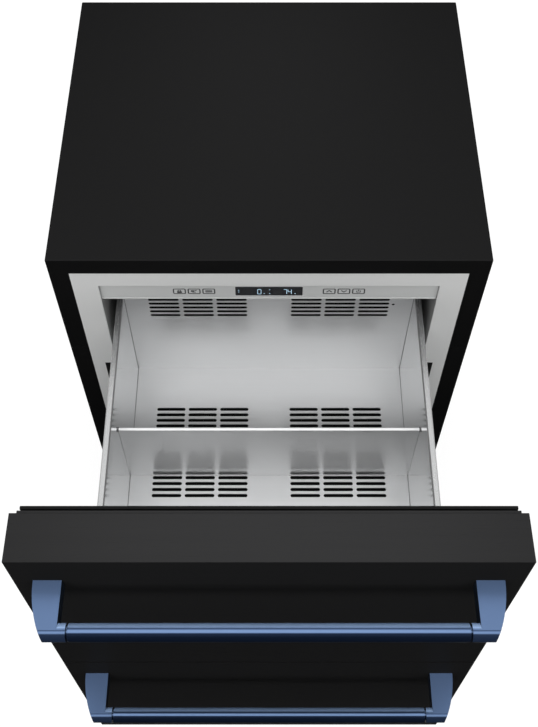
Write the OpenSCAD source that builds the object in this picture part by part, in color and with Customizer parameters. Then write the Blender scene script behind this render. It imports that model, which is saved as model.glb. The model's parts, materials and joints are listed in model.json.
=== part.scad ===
// Undercounter refrigerator with two insulated drawers, shown with both drawers drawn out.
// Millimetres. +Z is up, z = 0 is the floor under the levelling feet, +Y points to the back.
// The origin is at the middle of the whole object's footprint with the drawers out.

/* [Cabinet] */
// Width of the cabinet over its sides
case_w = 597; // [580:1:640]
// Height of the cabinet's top above the floor
case_h = 876; // [866:1:920]
// Depth of the cabinet behind its front plane
case_d = 518; // [505:1:560]
// Thickness of the painted case sheet
sheet_t = 1; // [0.8:0.1:1.5]
// Width of the painted front flange on each side
side_band = 27.6; // [22:0.2:32]
// Height of the painted front flange across the top
top_band = 28.6; // [22:0.2:34]
// Gap between the floor and the underside of the case
floor_gap = 18.5; // [16:0.5:22]
// Height of the duct between the base pan and the step panel
duct_h = 41; // [36:1:48]

/* [Inner liner] */
// Thickness of the insulated side walls, out to the case's sides
side_wall = 63.5; // [62:0.5:66]
// Thickness of the insulated rear wall, out to the rear edge of the case
rear_wall = 63; // [58:1:68]
// Wall thickness of the moulded liner
liner_t = 1.5; // [1:0.1:2]
// Distance from the case top down to the top of the upper opening
cavity_drop = 57.4; // [50:0.2:60]
// Thickness of the insulation under the lower compartment
floor_foam = 37.5; // [34:0.5:42]
// Height of the insulated bar between the two compartments
mullion_h = 68; // [62:1:72]
// Depth of the grooves that hold the slides, beyond the compartment's walls
groove_d = 9; // [8:0.5:12]
// Height of the slide grooves
groove_h = 49; // [47:1:54]

/* [Machine room] */
// Depth of the machine room, from its front wall to the rear edge of the case
machine_d = 228; // [218:1:238]
// Height of the machine room's ceiling above the floor
machine_top = 209; // [205:1:214]
// Thickness of the insulation in front of and over the machine room
step_foam = 33.5; // [30:0.5:37]
// Distance that the back panel sits in from the rear edge of the case
back_inset = 3.5; // [3:0.5:6]
// Radius of the compressor's shell
compressor_r = 74; // [68:1:76]
// Height of the compressor's shell
compressor_h = 142; // [120:1:145]

/* [Control strip] */
// Height of the control strip
strip_h = 37.4; // [34:0.2:44]
// Distance that the strip's face stands back from the front plane
strip_recess = 6; // [4:0.5:10]
// Depth of the strip's housing
strip_d = 26; // [20:1:34]
// Width of the display window
display_w = 94; // [80:1:100]
// Height of the display window
display_h = 20.5; // [16:0.5:24]
// Width of a touch key
key_w = 18.4; // [14:0.2:19.5]
// Height of a touch key
key_h = 12.8; // [10:0.2:16]
// Distance from one touch key's middle to the next
key_pitch = 20.5; // [20:0.1:24]
// Distance from the middle of the strip to the nearest key's middle
key_start = 84; // [70:1:90]

/* [Drawer fronts] */
// Distance that the drawer fronts reach past each side of the case
front_over = 0.5; // [0:0.1:2]
// Distance from the case top down to the upper front's top
front_drop = 6.4; // [4:0.2:10]
// Height of the toe space under the lower front
toe_h = 63.6; // [60:0.2:66]
// Gap between the two fronts
front_gap = 3; // [2:0.2:5]
// Thickness of the insulated front, without its gasket
front_t = 59.7; // [50:0.1:70]
// Thickness of the front's folded skin
skin_t = 1.2; // [1:0.1:1.5]
// Thickness of the backing plate behind the front
plate_t = 2; // [1.5:0.5:3]
// Thickness of the gasket between the backing plate and the cabinet
gasket_t = 13; // [10:0.5:16]
// Width of the gasket
gasket_w = 14; // [12:0.5:16]
// Distance from the front's edges to the gasket
gasket_inset = 13.5; // [12:0.5:14]
// Distance that the drawers are drawn out in the stored pose
travel = 343; // [300:1:350]

/* [Handles] */
// Radius of the handle's bar
bar_r = 10.8; // [9:0.1:12]
// Distance from the front's face to the middle of the bar
bar_reach = 58.4; // [50:0.2:66]
// Distance from the front's top to the middle of the bar
bar_drop = 68.5; // [55:0.5:90]
// Distance from the front's side edge to a bracket's outer side
handle_inset = 23.7; // [15:0.1:35]
// Length of the round collar that a bracket ends in
collar_l = 9.8; // [6:0.2:14]
// Width of a bracket's arm
arm_w = 33.8; // [30:0.2:38]
// Gap between the bar's end and the bracket's collar
collar_gap = 2.3; // [1:0.1:3]
// Radius of the curve of the bracket's outer side
arm_curve_r = 155; // [130:1:190]

/* [Drawer boxes] */
// Gap on each side between a drawer box and the compartment's wall
box_gap = 12; // [10:0.5:20]
// Thickness of a double-walled drawer side
box_wall = 8; // [6:0.5:10]
// Thickness of the drawer's sheet
tray_t = 1.2; // [1:0.1:1.5]
// Height of the sides above the drawer's floor
box_h = 214.4; // [205:0.2:220]
// Distance from the front's lower edge up to the drawer's floor
box_rise = 52.5; // [50:0.5:58]
// Gap between a drawer box's back wall and the air cover, before the sheet and the seal
box_back_gap = 21; // [18:1:34]
// Height of the raised rear floor of the lower drawer, above its floor
rear_rise = 143; // [140:1:146]
// Gap between the liner's step and the lower drawer's riser
riser_gap = 14; // [11:1:22]
// Distance from the riser to the middle of the divider
divider_gap = 42.5; // [28:0.5:46]
// Height of the divider
divider_h = 155; // [120:1:160]
// Thickness of the divider's sheet
divider_t = 1.6; // [1.2:0.1:2.5]
// Width of the flange along the divider's top
cap_w = 6; // [5:0.5:8]
// Thickness of the rolled hem on a drawer's back wall
hem_t = 5.2; // [4:0.1:7]
// Length of an air slot
slot_l = 45.7; // [40:0.1:47]
// Width of an air slot
slot_w = 5.6; // [4:0.1:7]
// Distance between neighbouring rows of slots
slot_row_pitch = 10.05; // [9:0.05:10.5]
// Distance between neighbouring columns of slots
slot_column_pitch = 50.7; // [49:0.1:52]

/* [Slides] */
// Distance between the rear end of a slide and the air cover
slide_end_gap = 8; // [5:1:23]
// Height of the cabinet rail
rail_h = 45; // [44:0.5:46]
// Height of a slide above the upper front's lower edge
upper_slide_z = 127; // [110:1:200]
// Height of a slide above the lower front's lower edge
lower_slide_z = 226; // [222:1:232]

/* [Fans and feet] */
// Radius of the cold air fan
cold_fan_r = 36; // [30:1:37]
// Radius of the condenser's fan
warm_fan_r = 56; // [45:1:58]
// Radius of a levelling foot's pad
foot_r = 18; // [14:1:22]
// Radius of a levelling foot's stud
stud_r = 5; // [4:0.5:6]

/* [Hidden] */
$fn = 48;
// Space kept between pieces that move against each other
gap = 0.3;
// Radial clearance of turning shafts, and of screws in their holes
shaft_gap = 0.05;

// Heights above the floor
front_h = (case_h - front_drop - toe_h - front_gap) / 2;
lower_z = toe_h;
upper_z = toe_h + front_h + front_gap;
seam_z = toe_h + front_h + front_gap / 2;
pan_z = floor_gap + 1.5;
pan_t = 1.5;
step_z = pan_z + duct_h;
lower_floor = step_z + sheet_t + floor_foam + liner_t;
lower_top = seam_z - mullion_h / 2;
upper_floor = seam_z + mullion_h / 2;
upper_top = case_h - cavity_drop;
step_floor = machine_top + sheet_t + step_foam + liner_t;
lip_h = 29;
lip_z = lower_floor - lip_h;

// Widths
cavity_w = case_w - 2 * side_wall;
front_w = case_w + 2 * front_over;
box_w = cavity_w - 2 * box_gap;
inner_half = case_w / 2 - sheet_t;
flange_half = case_w / 2 - side_band;

// Distances along the depth, from the front plane
back_y = case_d - back_inset;
cavity_d = case_d - rear_wall;
machine_y = case_d - machine_d;
step_y = machine_y - sheet_t - step_foam - liner_t;
duct_d = 41;
cover_t = 1.5;
cover_y = cavity_d - duct_d;
slide_y = 6;
slide_l = cover_y - slide_y - slide_end_gap;
front_reach = travel + gap + gasket_t + plate_t + front_t + bar_reach + bar_r;
// The row frame's y of the cabinet's front plane
face_y = (front_reach - case_d) / 2;
// The sealing plane of a drawer, in the row frame, when drawn out
drawer_y = face_y - travel - gap;

// Planes of a drawer, from its sealing plane
plate_y = -gasket_t;
skin_back_y = plate_y - plate_t;
skin_face_y = skin_back_y - front_t;
bar_y = skin_face_y - bar_reach;
bar_z = front_h - bar_drop;
box_l = cover_y - box_back_gap;
riser_y = step_y - riser_gap;
divider_y = riser_y - divider_gap;
rim_z = box_rise + box_h;
hem_r = hem_t / 2;
arm_out = front_w / 2 - handle_inset;
arm_in = arm_out - arm_w;
collar_in = arm_in - collar_l;
bar_l = 2 * (collar_in - collar_gap);

// Slide sections, measured from the groove's wall towards the drawer
slide_t = (cavity_w - box_w) / 2 + groove_d;
member_t = 1.5;
ball_r = 1.7;
ball_space = 2 * (ball_r + gap);
carrier_h = rail_h - 2 * (member_t + ball_space);
runner_h = carrier_h - 2 * (member_t + ball_space);
groove_x = cavity_w / 2 + groove_d;
ball_count = 6;
rail_tip = 13;
carrier_web = 5;
carrier_tip = 17;
runner_tip = 9;

// Air slots
first_column = 55.75;
column_count = 3;
row_count = 5;
back_slots_z = rim_z - 18.7;
rear_slots_y = box_l - 77;
raised_slots_y = box_l - 42;
front_slots_y = riser_y - 35;

// Fans and compressor
cold_fan_z = upper_top - 118;
warm_fan_x = case_w / 2 - 98.5;
warm_fan_y = machine_y + 71;
warm_fan_z = pan_z + warm_fan_r + 28;
compressor_x = -case_w / 4;
compressor_y = (machine_y + back_y) / 2;
mount_h = 18;
foot_plate_t = 5;
shell_z = pan_z + mount_h + foot_plate_t - 2;
mount_x = compressor_r + 10;
mount_y = compressor_r - 28;

// Levelling feet
foot_inset = 40;
foot_x = case_w / 2 - foot_inset;
front_foot_y = foot_inset - 10;
rear_foot_y = case_d - foot_inset;
FEET = [[-foot_x, front_foot_y], [foot_x, front_foot_y], [-foot_x, rear_foot_y], [foot_x, rear_foot_y]];

black = [0.1, 0.1, 0.1];
brushed_black = [0.13, 0.13, 0.135];
blue = [0.36, 0.47, 0.63];
liner_grey = [0.7, 0.7, 0.7];
strip_grey = [0.62, 0.63, 0.62];
steel = [0.7, 0.7, 0.69];
bright_steel = [0.9, 0.9, 0.9];
zinc = [0.6, 0.62, 0.64];
copper = [0.75, 0.45, 0.28];
rubber = [0.08, 0.08, 0.08];
foam = [0.9, 0.85, 0.6];

// A block from its low to its high value on each axis
module block(x, y, z)
    translate([x[0], y[0], z[0]]) cube([x[1] - x[0], y[1] - y[0], z[1] - z[0]]);

// Places its children, whose y is counted from the cabinet's front plane
module cabinet() translate([0, face_y, 0]) children();

// Places its children, whose y is counted from the sealing plane and z from the front's lower edge
module drawer(z) translate([0, drawer_y, z]) children();

module both_sides() {
    children();
    mirror([1, 0, 0]) children();
}

// A rod along X, Y or Z from the point where it starts
module rod_x(r, l) rotate([0, 90, 0]) cylinder(r = r, h = l);
module rod_y(r, l) rotate([-90, 0, 0]) cylinder(r = r, h = l);
module rod_z(r, l) cylinder(r = r, h = l);

// Extrudes an outline of (y, z) points along X
module extrude_x(l) rotate([90, 0, 90]) linear_extrude(height = l) children();

// Outline of a plate with round corners, around its middle
module round_plate(w, h, r) {
    square([w - 2 * r, h], center = true);
    square([w, h - 2 * r], center = true);
    for (x = [-1, 1], y = [-1, 1])
        translate([x * (w / 2 - r), y * (h / 2 - r)]) circle(r = r);
}

// Outline of a slot with round ends, along X
module slot(l, w) {
    square([l - w, w], center = true);
    for (x = [-1, 1]) translate([x * (l - w) / 2, 0]) circle(d = w);
}

// Rows of air slots on both halves, going down from the first row
module slot_field(rows = row_count)
    for (side = [-1, 1], column = [0 : column_count - 1], row = [0 : rows - 1])
        translate([side * (first_column + column * slot_column_pitch), -row * slot_row_pitch])
            slot(slot_l, slot_w);

// A pipe of straight stretches through the given points, with round elbows
module pipe(points, r) {
    for (i = [0 : len(points) - 2]) {
        step = points[i + 1] - points[i];
        run = norm(step);
        translate(points[i])
            rotate([0, acos(step[2] / run), atan2(step[1], step[0])]) cylinder(r = r, h = run);
    }
    for (i = [1 : 1 : len(points) - 2]) translate(points[i]) sphere(r = r);
}

// ---- Cabinet ----

// Top and sides folded from one sheet, with the flange that frames the front
module case_wrapper() color(black) cabinet() {
    half = case_w / 2;
    rear_flange = 12;
    both_sides() {
        block([inner_half, half], [0, case_d], [floor_gap, case_h]);
        block([flange_half, inner_half], [0, sheet_t], [floor_gap, case_h]);
        block([half - rear_flange, inner_half], [case_d - sheet_t, case_d], [floor_gap, case_h]);
    }
    block([-inner_half, inner_half], [0, case_d], [case_h - sheet_t, case_h]);
    block([-flange_half, flange_half], [0, sheet_t], [case_h - top_band, case_h - sheet_t]);
    block([rear_flange - half, half - rear_flange], [case_d - sheet_t, case_d],
        [case_h - rear_flange, case_h - sheet_t]);
}

// Height where the back panel meets the machine room's cover
panel_seam = step_floor + 4;

module back_panel() color(zinc) cabinet()
    block([-inner_half, inner_half], [back_y, back_y + sheet_t], [panel_seam, case_h - sheet_t]);

inlet_x = 53.5 - case_w / 2;
inlet_z = pan_z + 60;
inlet_w = 28;
inlet_h = 20;

// Lower rear cover, with louvres and the power inlet's window
module machine_cover() color(zinc) cabinet() difference() {
    louvre_pitch = 16;
    block([-inner_half, inner_half], [back_y, back_y + sheet_t], [pan_z, panel_seam]);
    for (x = [-120, 0, 120, 220], row = [0 : 8])
        translate([x, back_y - 1, pan_z + 45 + louvre_pitch * row]) rotate([-90, 0, 0])
            linear_extrude(height = sheet_t + 2) slot(80, 5);
    block([inlet_x - inlet_w / 2, inlet_x + inlet_w / 2], [back_y - 1, back_y + sheet_t + 1],
        [inlet_z - inlet_h / 2, inlet_z + inlet_h / 2]);
}

// The pan starts behind the grille that closes the toe space
pan_y = 14;
boss_h = 8;

module base_pan() color(zinc) cabinet() difference() {
    lip_t = 1.2;
    union() {
        block([-inner_half, inner_half], [pan_y, back_y], [pan_z - pan_t, pan_z]);
        both_sides() block([inner_half - lip_t, inner_half], [pan_y, back_y], [pan_z, pan_z + 15]);
        for (p = FEET) translate([p[0], p[1], pan_z]) rod_z(stud_r + 6, boss_h);
    }
    for (p = FEET) translate([p[0], p[1], pan_z - pan_t - 1])
        rod_z(stud_r + shaft_gap, pan_t + boss_h + 2);
}

module toe_grille() color(black) cabinet() difference() {
    grille_t = 1.5;
    pitch = 14;
    count = floor((inner_half - 20) / pitch);
    block([-inner_half, inner_half], [pan_y - grille_t, pan_y], [floor_gap, step_z]);
    for (i = [-count : count])
        translate([i * pitch, pan_y - grille_t - 1, (pan_z + step_z) / 2]) rotate([-90, 0, 0])
            linear_extrude(height = grille_t + 2) rotate(90) slot(duct_h - 15, 5);
}

// Stepped sheet that closes the foam's underside and forms the machine room
module step_panel() color(zinc) cabinet() difference() {
    union() {
        block([-flange_half, flange_half], [0, sheet_t], [step_z, lip_z]);
        block([-inner_half, inner_half], [sheet_t, machine_y], [step_z, step_z + sheet_t]);
        block([-inner_half, inner_half], [machine_y - sheet_t, machine_y],
            [step_z, machine_top + sheet_t]);
        block([-inner_half, inner_half], [machine_y - sheet_t, back_y],
            [machine_top, machine_top + sheet_t]);
    }
    foam_pipes();
}

// Outside shape of the two compartments, grown by g on every closed side
module cavities(g, y0) {
    half = cavity_w / 2;
    y1 = cavity_d + g;
    block([-half - g, half + g], [y0, y1], [upper_floor - g, upper_top + g]);
    block([-half - g, half + g], [y0, step_y + g], [lower_floor - g, lower_top + g]);
    block([-half - g, half + g], [y0, y1], [step_floor - g, lower_top + g]);
    for (z = [upper_z + upper_slide_z, lower_z + lower_slide_z])
        block([-groove_x - g, groove_x + g], [y0, slide_y + slide_l + 4 + g],
            [z - groove_h / 2 - g, z + groove_h / 2 + g]);
}

// The pipes that pass through the foam
module foam_pipes() {
    drain_path(drain_r);
    pipe(suction_path, line_r);
    pipe(capillary_path, capillary_r);
}

// Foam between the case, the liner, the back and the step panel
module insulation() color(foam) cabinet() difference() {
    block([-inner_half, inner_half], [sheet_t, back_y], [step_z + sheet_t, case_h - sheet_t]);
    cavities(liner_t, 0);
    block([-case_w, case_w], [machine_y - sheet_t, case_d], [0, machine_top + sheet_t]);
    foam_pipes();
}

// Moulded liner: both compartments and the flange that frames them
module inner_liner() color(liner_grey) cabinet() difference() {
    union() {
        cavities(liner_t, sheet_t);
        block([-flange_half, flange_half], [0, sheet_t], [lip_z, case_h - top_band]);
    }
    cavities(0, -1);
    foam_pipes();
}

// ---- Controls ----
strip_z = upper_top - strip_h;
strip_y = strip_recess;
strip_t = 2.5;
display_z = upper_top - 20;
glass_t = 1.5;
key_t = 0.8;
key_proud = 0.2;

// Housing of the controls, open at the back
module control_strip() color(strip_grey) cabinet() difference() {
    half = cavity_w / 2;
    wall = 2;
    block([-half, half], [strip_y, strip_y + strip_d], [strip_z, upper_top]);
    block([wall - half, half - wall], [strip_y + strip_t, strip_y + strip_d + 1],
        [strip_z + strip_t, upper_top - wall]);
    window(strip_y - 1, glass_t + 1);
    keys(strip_y - 1, 1 + key_t - key_proud);
}

module window(y, l)
    translate([0, y, display_z]) rotate([-90, 0, 0])
        linear_extrude(height = l) round_plate(display_w, display_h, 1.5);

module keys(y, l)
    for (side = [-1, 1], i = [0 : 2])
        translate([side * (key_start + i * key_pitch), y, display_z]) rotate([-90, 0, 0])
            linear_extrude(height = l) round_plate(key_w, key_h, 2.5);

module display_window() color([0.02, 0.02, 0.03]) cabinet() window(strip_y, glass_t);

module touch_keys() color(strip_grey) cabinet() keys(strip_y - key_proud, key_t);

// Circuit board behind the strip's face, on four posts, with its chips and connector
module control_board() color([0.1, 0.35, 0.15]) cabinet() {
    half = 130;
    post = 3.5;
    post_in = 10;
    board_t = 1.6;
    y = strip_y + strip_t + post;
    z0 = strip_z + 7;
    z1 = upper_top - 6;
    block([-half, half], [y, y + board_t], [z0, z1]);
    for (x = [post_in - half, half - post_in], z = [z0 + 4, z1 - 4])
        translate([x, strip_y + strip_t, z]) rod_y(2.5, post);
    for (x = [-80, -30, 40])
        block([x, x + 22], [y + board_t, y + board_t + 2.4], [z0 + 6, z0 + 16]);
    block([85, 115], [y + board_t, y + board_t + 9.4], [z0 + 4, z0 + 14]);
}

// Lamp bars: under the strip, and under the ceiling of the lower compartment
module light_bars() color([0.95, 0.95, 0.9]) cabinet() {
    half = 150;
    for (z = [strip_z, lower_top])
        block([-half, half], [strip_y + 6, strip_y + 18], [z - 5, z]);
}

// ---- Air side ----
module air_slots(z, rows)
    translate([0, cover_y + cover_t + 1, z]) rotate([90, 0, 0])
        linear_extrude(height = cover_t + 2) slot_field(rows);

module upper_air_cover() color(liner_grey) cabinet() difference() {
    bar_pitch = 8;
    block([-cavity_w / 2, cavity_w / 2], [cover_y, cover_y + cover_t], [upper_floor, upper_top]);
    air_slots(upper_floor + 60, 3);
    translate([0, cover_y - 1, cold_fan_z]) intersection() {
        rod_y(cold_fan_r - 2, cover_t + 2);
        for (i = [-4 : 4]) block([-cold_fan_r, cold_fan_r], [-1, cover_t + 3],
            [i * bar_pitch - 2.5, i * bar_pitch + 2.5]);
    }
}

module lower_air_cover() color(liner_grey) cabinet() difference() {
    block([-cavity_w / 2, cavity_w / 2], [cover_y, cover_y + cover_t], [step_floor, lower_top]);
    air_slots(lower_top - 20, 3);
}

coil_y = cover_y + duct_d / 2;
coil_z = upper_floor + 22;
coil_half = 160;
coil_r = 4;
coil_rows = 4;
coil_pitch = 22;
fin_count = 12;
fin_pitch = 12;
fin_t = 0.8;

// Serpentine of tube with a stack of fins, held to the back wall by two end plates
module evaporator_coil() color([0.75, 0.77, 0.78]) cabinet() {
    fin_y = coil_y - 17.5;
    fin_z = [coil_z - 21.5, coil_z + (coil_rows - 1) * coil_pitch + 14];
    pipe([for (i = [0 : 2 * coil_rows - 1])
        [(floor((i + 1) / 2) % 2 == 0 ? -1 : 1) * coil_half, coil_y, coil_z + coil_pitch * floor(i / 2)]],
        coil_r);
    for (i = [-fin_count : fin_count])
        block([i * fin_pitch - fin_t / 2, i * fin_pitch + fin_t / 2], [fin_y, cavity_d - 6.5], fin_z);
    both_sides() block([coil_half - 8, coil_half - 6.5], [fin_y, cavity_d], fin_z);
}

// Ring, three spokes and motor, for a fan that blows along Y
module fan_frame(r, l, motor_r, motor_l, bore_l) {
    ring_t = 2;
    spoke = 2.5;
    difference() {
        rod_y(r + 1 + ring_t, l);
        translate([0, -1, 0]) rod_y(r + 1, l + 2);
    }
    for (a = [90, 210, 330]) rotate([0, a, 0])
        block([motor_r - 2, r + 2], [l - spoke, l], [-spoke, spoke]);
    difference() {
        translate([0, l - spoke, 0]) rod_y(motor_r, motor_l);
        translate([0, l - spoke - 1, 0]) rod_y(shaft_r + shaft_gap, bore_l + 1);
    }
}
shaft_r = 2;

// Hub with its shaft and pitched blades, for a fan that blows along Y
module fan_wheel(r, hub_r, l, blades, shaft_l) {
    blade_t = 1.2;
    rod_y(hub_r, l);
    translate([0, l, 0]) rod_y(shaft_r, shaft_l);
    for (i = [0 : blades - 1]) rotate([0, i * 360 / blades, 0])
        translate([hub_r - 1.5, l / 2, 0]) rotate([35, 0, 0])
            block([0, r - hub_r - 1], [-blade_t / 2, blade_t / 2], [-l * 0.62, l * 0.62]);
}

module cold_fan_frame() color(rubber) cabinet() translate([0, cover_y + cover_t, cold_fan_z]) {
    fan_frame(cold_fan_r, 17, 13, 24, 10.5);
    both_sides() block([cold_fan_r + 1.5, cold_fan_r + 12], [0, 4], [-8, 8]);
}
module cold_fan() color([0.2, 0.2, 0.22]) cabinet()
    translate([0, cover_y + cover_t + 2.5, cold_fan_z]) fan_wheel(cold_fan_r, 11, 11.5, 7, 7);

// ---- Machine room ----

// Hermetic shell of two deep drawn halves
module compressor_shell() translate([compressor_x, compressor_y, shell_z]) {
    round_r = 40;
    seam = 3;
    rotate_extrude() intersection() {
        union() {
            translate([0, round_r]) square([compressor_r, compressor_h - 2 * round_r]);
            for (z = [round_r, compressor_h - round_r])
                translate([compressor_r - round_r, z]) circle(r = round_r);
            square([compressor_r - round_r, compressor_h]);
            translate([0, compressor_h * 0.55]) square([compressor_r + seam, seam]);
        }
        square([2 * compressor_r, compressor_h]);
    }
}

module compressor() color(rubber) cabinet() {
    compressor_shell();
    compressor_fittings();
}

// Foot plate with its four holes, and the terminal box
module compressor_fittings() translate([compressor_x, compressor_y, shell_z]) {
    half_x = mount_x + 16;
    half_y = mount_y + 14;
    difference() {
        block([-half_x, half_x], [-half_y, half_y], [2 - foot_plate_t, 2]);
        for (x = [-mount_x, mount_x], y = [-mount_y, mount_y])
            translate([x, y, 1 - foot_plate_t]) rod_z(stem_r + gap, foot_plate_t + 2);
    }
    block([compressor_r - 12, compressor_r + 14], [-22, 22], [40, 78]);
}
stem_r = 5.7;

// Rubber buffers under the foot plate, each with a stem through its hole
module compressor_mounts() color([0.15, 0.15, 0.16]) cabinet()
    for (x = [-mount_x, mount_x], y = [-mount_y, mount_y])
        translate([compressor_x + x, compressor_y + y, pan_z]) {
            rod_z(11, mount_h);
            translate([0, 0, mount_h]) rod_z(stem_r, foot_plate_t + 3);
        }

// Finned block in front of its fan, standing on the base pan
coil_half_w = warm_fan_r + 6;
header_t = 2;
header_x = warm_fan_x - coil_half_w - 9;
condenser_y = [machine_y + 14, machine_y + 56];
tube_y = [condenser_y[0] + 10, condenser_y[1] - 10];
tube_z = pan_z + 24;
tube_pitch = 24;
tube_rows = 6;

module condenser_coil() color([0.25, 0.25, 0.26]) cabinet() {
    half = coil_half_w;
    fins = 20;
    end = header_x - warm_fan_x;
    translate([warm_fan_x, 0, 0]) {
        for (row = [0 : tube_rows - 1], y = tube_y)
            translate([end + 1, y, tube_z + tube_pitch * row]) rod_x(4, -2 * end - 2);
        for (i = [0 : fins]) {
            x = -half + i * (2 * half - fin_t) / fins;
            block([x, x + fin_t], condenser_y, [pan_z + 6, pan_z + 158]);
        }
        for (x = [end, -end - header_t]) block([x, x + header_t], condenser_y, [pan_z, pan_z + 162]);
    }
}

module warm_fan_frame() color(rubber) cabinet()
    translate([warm_fan_x, warm_fan_y, warm_fan_z]) {
        plate = 1.5;
        half = warm_fan_r + 10;
        fan_frame(warm_fan_r, 24, 20, 34, 13.5);
        difference() {
            block([-half, half], [-plate, 0], [pan_z - warm_fan_z, half]);
            translate([0, -2 * plate, 0]) rod_y(warm_fan_r + 1, 3 * plate);
        }
    }
module warm_fan() color([0.75, 0.76, 0.78]) cabinet()
    translate([warm_fan_x, warm_fan_y + 4, warm_fan_z]) fan_wheel(warm_fan_r, 17, 16, 5, 10);

tray_x = 20;
module evaporation_tray() color([0.2, 0.2, 0.2]) cabinet() difference() {
    half = 60;
    wall = 2;
    margin = 20;
    y = [machine_y + margin, case_d - margin + 2];
    block([tray_x - half, tray_x + half], y, [pan_z, pan_z + 34]);
    block([tray_x - half + wall, tray_x + half - wall], [y[0] + wall, y[1] - wall],
        [pan_z + wall, pan_z + 40]);
}

drain_r = 7;
drain_wall = 1.5;
drain_z = upper_floor + drain_r + 2;
drain_y = cavity_d + 22;
module drain_path(r)
    pipe([[tray_x, cavity_d - 5, drain_z], [tray_x, drain_y, drain_z], [tray_x, drain_y, pan_z + 12]], r);

// Drain from the coil's trough, through the foam, down to the evaporation tray
module drain_tube() color([0.85, 0.85, 0.85]) cabinet() difference() {
    drain_path(drain_r);
    drain_path(drain_r - drain_wall);
}

line_r = 4;
suction_x = -66;
liquid_x = 90;
capillary_r = 2.5;
riser_pipe_y = cavity_d + 30;
shell_top = shell_z + compressor_h;
discharge_z = shell_z + 100;
suction_path = [
    [compressor_x + 40, compressor_y, shell_top - 6],
    [compressor_x + 40, compressor_y, shell_top + 8],
    [suction_x, compressor_y, shell_top + 8],
    [suction_x, riser_pipe_y, shell_top + 8],
    [suction_x, riser_pipe_y, coil_z + (coil_rows - 1) * coil_pitch],
    [suction_x, coil_y, coil_z + (coil_rows - 1) * coil_pitch]];
discharge_path = [
    [compressor_x + compressor_r - 14, compressor_y - 30, discharge_z],
    [tray_x, compressor_y - 30, discharge_z],
    [tray_x, tube_y[1], discharge_z],
    [tray_x, tube_y[1], tube_z + (tube_rows - 1) * tube_pitch],
    [header_x, tube_y[1], tube_z + (tube_rows - 1) * tube_pitch]];
capillary_path = [
    [header_x, tube_y[0], tube_z],
    [liquid_x, tube_y[0], tube_z],
    [liquid_x, tube_y[0], pan_z + 170],
    [liquid_x, riser_pipe_y, pan_z + 170],
    [liquid_x, riser_pipe_y, coil_z],
    [liquid_x, coil_y, coil_z]];

// Suction and discharge lines, and the liquid line with its filter drier
module refrigerant_lines() color(copper) cabinet() difference() {
    union() {
        pipe(suction_path, line_r);
        pipe(discharge_path, line_r - 1);
        pipe(capillary_path, capillary_r);
        translate([liquid_x, tube_y[0], pan_z + 60]) rod_z(9, 80);
    }
    brazed_parts();
}

// The tubes and the shell that the lines are brazed to
module brazed_parts() {
    for (row = [0, coil_rows - 1])
        translate([-coil_half, coil_y, coil_z + coil_pitch * row]) rod_x(coil_r, 2 * coil_half);
    compressor_shell();
}

// Inlet for a mains lead, with a flange and three contact blades
module power_inlet() color(rubber) cabinet() translate([inlet_x, back_y, inlet_z]) {
    socket_x = 11.5;
    socket_z = 7.5;
    flange = 1.5;
    difference() {
        block([-inlet_w / 2, inlet_w / 2], [-22, sheet_t], [-inlet_h / 2, inlet_h / 2]);
        block([-socket_x, socket_x], [-16, sheet_t + 1], [-socket_z, socket_z]);
    }
    for (p = [[-7, -2], [0, 2], [7, -2]]) block([p[0] - 1, p[0] + 1], [-17, -3], [p[1] - 2, p[1] + 2]);
    difference() {
        block([-20, 20], [sheet_t, sheet_t + flange], [-12, 12]);
        block([-socket_x, socket_x], [0, sheet_t + flange + 1], [-socket_z, socket_z]);
    }
}

// Screws that hold the back panel and the machine room's cover
module case_screws() color(steel) cabinet() {
    inner = inner_half - 10;
    head_r = 4;
    head_h = 1.4;
    seams = [panel_seam - 10, panel_seam + 12];
    for (x = [-inner, inner], z = concat([pan_z + 12, seam_z, case_h - 30], seams))
        translate([x, back_y + sheet_t, z]) rod_y(head_r, head_h);
    for (x = [-130, 0, 130], z = concat([case_h - 30], seams))
        translate([x, back_y + sheet_t, z]) rod_y(head_r, head_h);
}

// Foot with a round pad, a hexagon for the spanner and a stud
module foot(i) color(rubber) cabinet() translate([FEET[i][0], FEET[i][1], 0]) {
    rod_z(foot_r, 6);
    cylinder(r = 11, h = floor_gap - pan_t - 1, $fn = 6);
    rod_z(stud_r, pan_z + 22);
}
module front_left_foot() foot(0);
module front_right_foot() foot(1);
module rear_left_foot() foot(2);
module rear_right_foot() foot(3);

// ---- Slides ----

// A channel with its web at s0 and its open side towards s1, both measured from the groove's wall
module channel(web, tip, h, y, l) {
    x_web = groove_x - web;
    x_tip = groove_x - tip;
    t = web < tip ? -member_t : member_t;
    block([min(x_web, x_web + t), max(x_web, x_web + t)], [y, y + l], [-h / 2, h / 2]);
    for (z = [-h / 2, h / 2 - member_t])
        block([min(x_web, x_tip), max(x_web, x_tip)], [y, y + l], [z, z + member_t]);
}

// Ball cage strips above and below a member
module ball_strips(s, z, y, l)
    for (side = [-1, 1]) translate([groove_x - s, y, side * z]) {
        block([-1.2, 1.2], [0, l], [-0.5, 0.5]);
        for (i = [0 : ball_count - 1])
            translate([0, l * (i + 0.5) / ball_count, 0]) sphere(r = ball_r, $fn = 24);
    }

module slide_rails(z) color(zinc) cabinet() translate([0, 0, z]) both_sides()
    channel(0, rail_tip, rail_h, slide_y, slide_l);

module slide_carriers(z) color(zinc) cabinet() translate([0, -travel / 2, z]) both_sides() {
    channel(carrier_web, carrier_tip, carrier_h, slide_y, slide_l);
    ball_strips((carrier_web + rail_tip + member_t) / 2 + 0.75, (carrier_h + ball_space) / 2,
        slide_y + travel / 2 + 4, slide_l * 0.3);
    ball_strips((runner_tip + carrier_tip) / 2, (runner_h + ball_space) / 2,
        slide_y + 30, slide_l * 0.375);
}

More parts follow.
